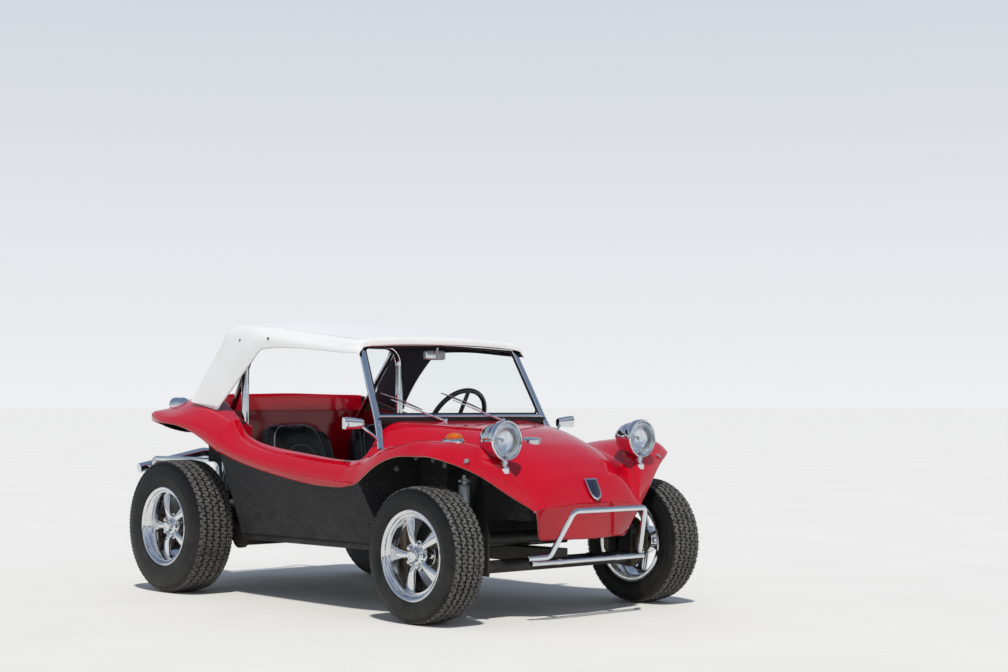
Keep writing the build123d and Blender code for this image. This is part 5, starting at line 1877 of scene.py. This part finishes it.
@dataclass
class Stage:
    """Floor, light and camera."""

    eye: tuple[float, float, float] = (7.5889, -6.2153, 0.9797)
    tilt: float = 92.22
    turn: float = 47.2
    lens: float = 66.23
    reach: float = 3000.0
    # the low hills that bright metal mirrors: heights as parts of the sky, and their colour
    hills: tuple[float, float] = (0.012, 0.085)
    hill_colour: Screen = (112, 110, 110)
    # horizon and zenith, as the camera sees them and as metal mirrors them, and how fast they change
    seen_sky: tuple[Screen, Screen, float] = ((238, 240, 242), (142, 158, 184), 1.6)
    mirrored_sky: tuple[Screen, Screen, float] = ((214, 221, 230), (122, 139, 166), 1.7)
    ground_colour: Screen = (237, 236, 233)
    # how strongly the sky lights things, and how strongly it is seen
    sky_strength: tuple[float, float] = (0.85, 1.0)
    sun_strength: float = 3.2
    sun_width: float = 3.0
    sun_colour: tuple[float, float, float] = (1.0, 0.98, 0.945)
    sun_from: tuple[float, float, float] = (0.42, -0.36, 1.0)

    def floor(self) -> None:
        """A wide pale floor."""
        shape = Shape()
        bmesh.ops.create_grid(shape.bm, x_segments=1, y_segments=1, size=self.reach)
        mesh = bpy.data.meshes.new("floor")
        shape.bm.to_mesh(mesh)
        shape.bm.free()
        made = bpy.data.objects.new("floor", mesh)
        bpy.context.scene.collection.objects.link(made)
        mesh.materials.append(Paint.SALT.material())

    def light(self) -> None:
        """A soft sky, pale to the camera and darker to what mirrors it, and one key light."""
        world = bpy.data.worlds.new("sky")
        bpy.context.scene.world = world
        world.use_nodes = True
        g = Graph(world.node_tree)
        back = world.node_tree.nodes["Background"]
        up = g.add("SeparateXYZ", None, Vector=g.add("TexCoord").outputs["Generated"]).outputs[2]
        rays = g.add("LightPath")
        pale, deep = (
            g.mix(g.math("MULTIPLY", up, fade, clamp=True), colour(*horizon), colour(*zenith))
            for horizon, zenith, fade in (self.seen_sky, self.mirrored_sky))
        above, below = g.math("GREATER_THAN", up, self.hills[0]), g.math("LESS_THAN", up, self.hills[1])
        deep = g.mix(g.math("MULTIPLY", above, below), deep, colour(*self.hill_colour))
        glossy, through = rays.outputs["Is Glossy Ray"], rays.outputs["Is Transmission Ray"]
        sky = g.mix(g.math("SUBTRACT", glossy, through, clamp=True), pale, deep)
        g.put(back.inputs["Color"], g.mix(g.math("LESS_THAN", up, 0.0), sky, colour(*self.ground_colour)))
        seen = g.math("MAXIMUM", g.math("MAXIMUM", rays.outputs["Is Camera Ray"], glossy), through)
        g.put(back.inputs["Strength"], g.between(seen, *self.sky_strength))
        key = bpy.data.lights.new("key", "SUN")
        key.energy, key.angle, key.color = self.sun_strength, math.radians(self.sun_width), self.sun_colour
        lamp = bpy.data.objects.new("key", key)
        lamp.visible_glossy = False
        lamp.rotation_euler = Vector(self.sun_from).to_track_quat("Z", "Y").to_euler()
        bpy.context.scene.collection.objects.link(lamp)

    def camera(self) -> None:
        """The camera at the photograph's place."""
        data = bpy.data.cameras.new("camera")
        data.lens, data.sensor_width, data.clip_end = self.lens, 36.0, 2 * self.reach
        made = bpy.data.objects.new("camera", data)
        made.location = self.eye
        made.rotation_euler = (math.radians(self.tilt), 0.0, math.radians(self.turn))
        bpy.context.scene.collection.objects.link(made)
        bpy.context.scene.camera = made

    def build(self) -> None:
        """Set all three, and the plain view transform."""
        self.floor()
        self.light()
        self.camera()
        bpy.context.scene.view_settings.view_transform = "Standard"


CORNERS = [
    Corner(place, side, *sizes)
    for place, sizes in (("front", (1.131, 1.442, 0.312, 0.205, 0.03, 0.613, 58)),
                         ("rear", (-0.901, 1.432, 0.351, 0.24, 0.044, 0.586, 62)))
    for side, _ in SIDES
]


def dress_nodes() -> None:
    """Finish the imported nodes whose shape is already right."""
    table = (
        (Paint.TUB, ("dash",)),
        (Paint.FRAME, ("floor_pan", "front_beam", "torsion_housing", "rear_axle", "steering_column",
                       "fan_shroud", "pedals")),
        (Paint.CAST, ("knuckle_left", "knuckle_right", "transaxle", "engine")),
        (Paint.STEEL, ("tie_rod_left", "tie_rod_right", "pitman_arm", "levers")),
        (Paint.GRIP, ("steering_wheel",)),
        (Paint.CHROME, ("exhaust", "rear_bumper", "front_bumper", "roll_bar")),
        (Paint.GLASS, ("windshield_glass",)),
    )
    for finish, nodes in table:
        dress(nodes, finish)


def main() -> None:
    """Build the stage and every assembly in order."""
    logging.basicConfig(level=logging.INFO, format="%(message)s")
    Stage().build()
    dress_nodes()
    BodySkin().build()
    SoftTop().build()
    Cabin().build()
    Lamps().build()
    Windshield().build()
    Trim().build()
    for corner in CORNERS:
        corner.build()


if __name__ == "__main__":
    main()
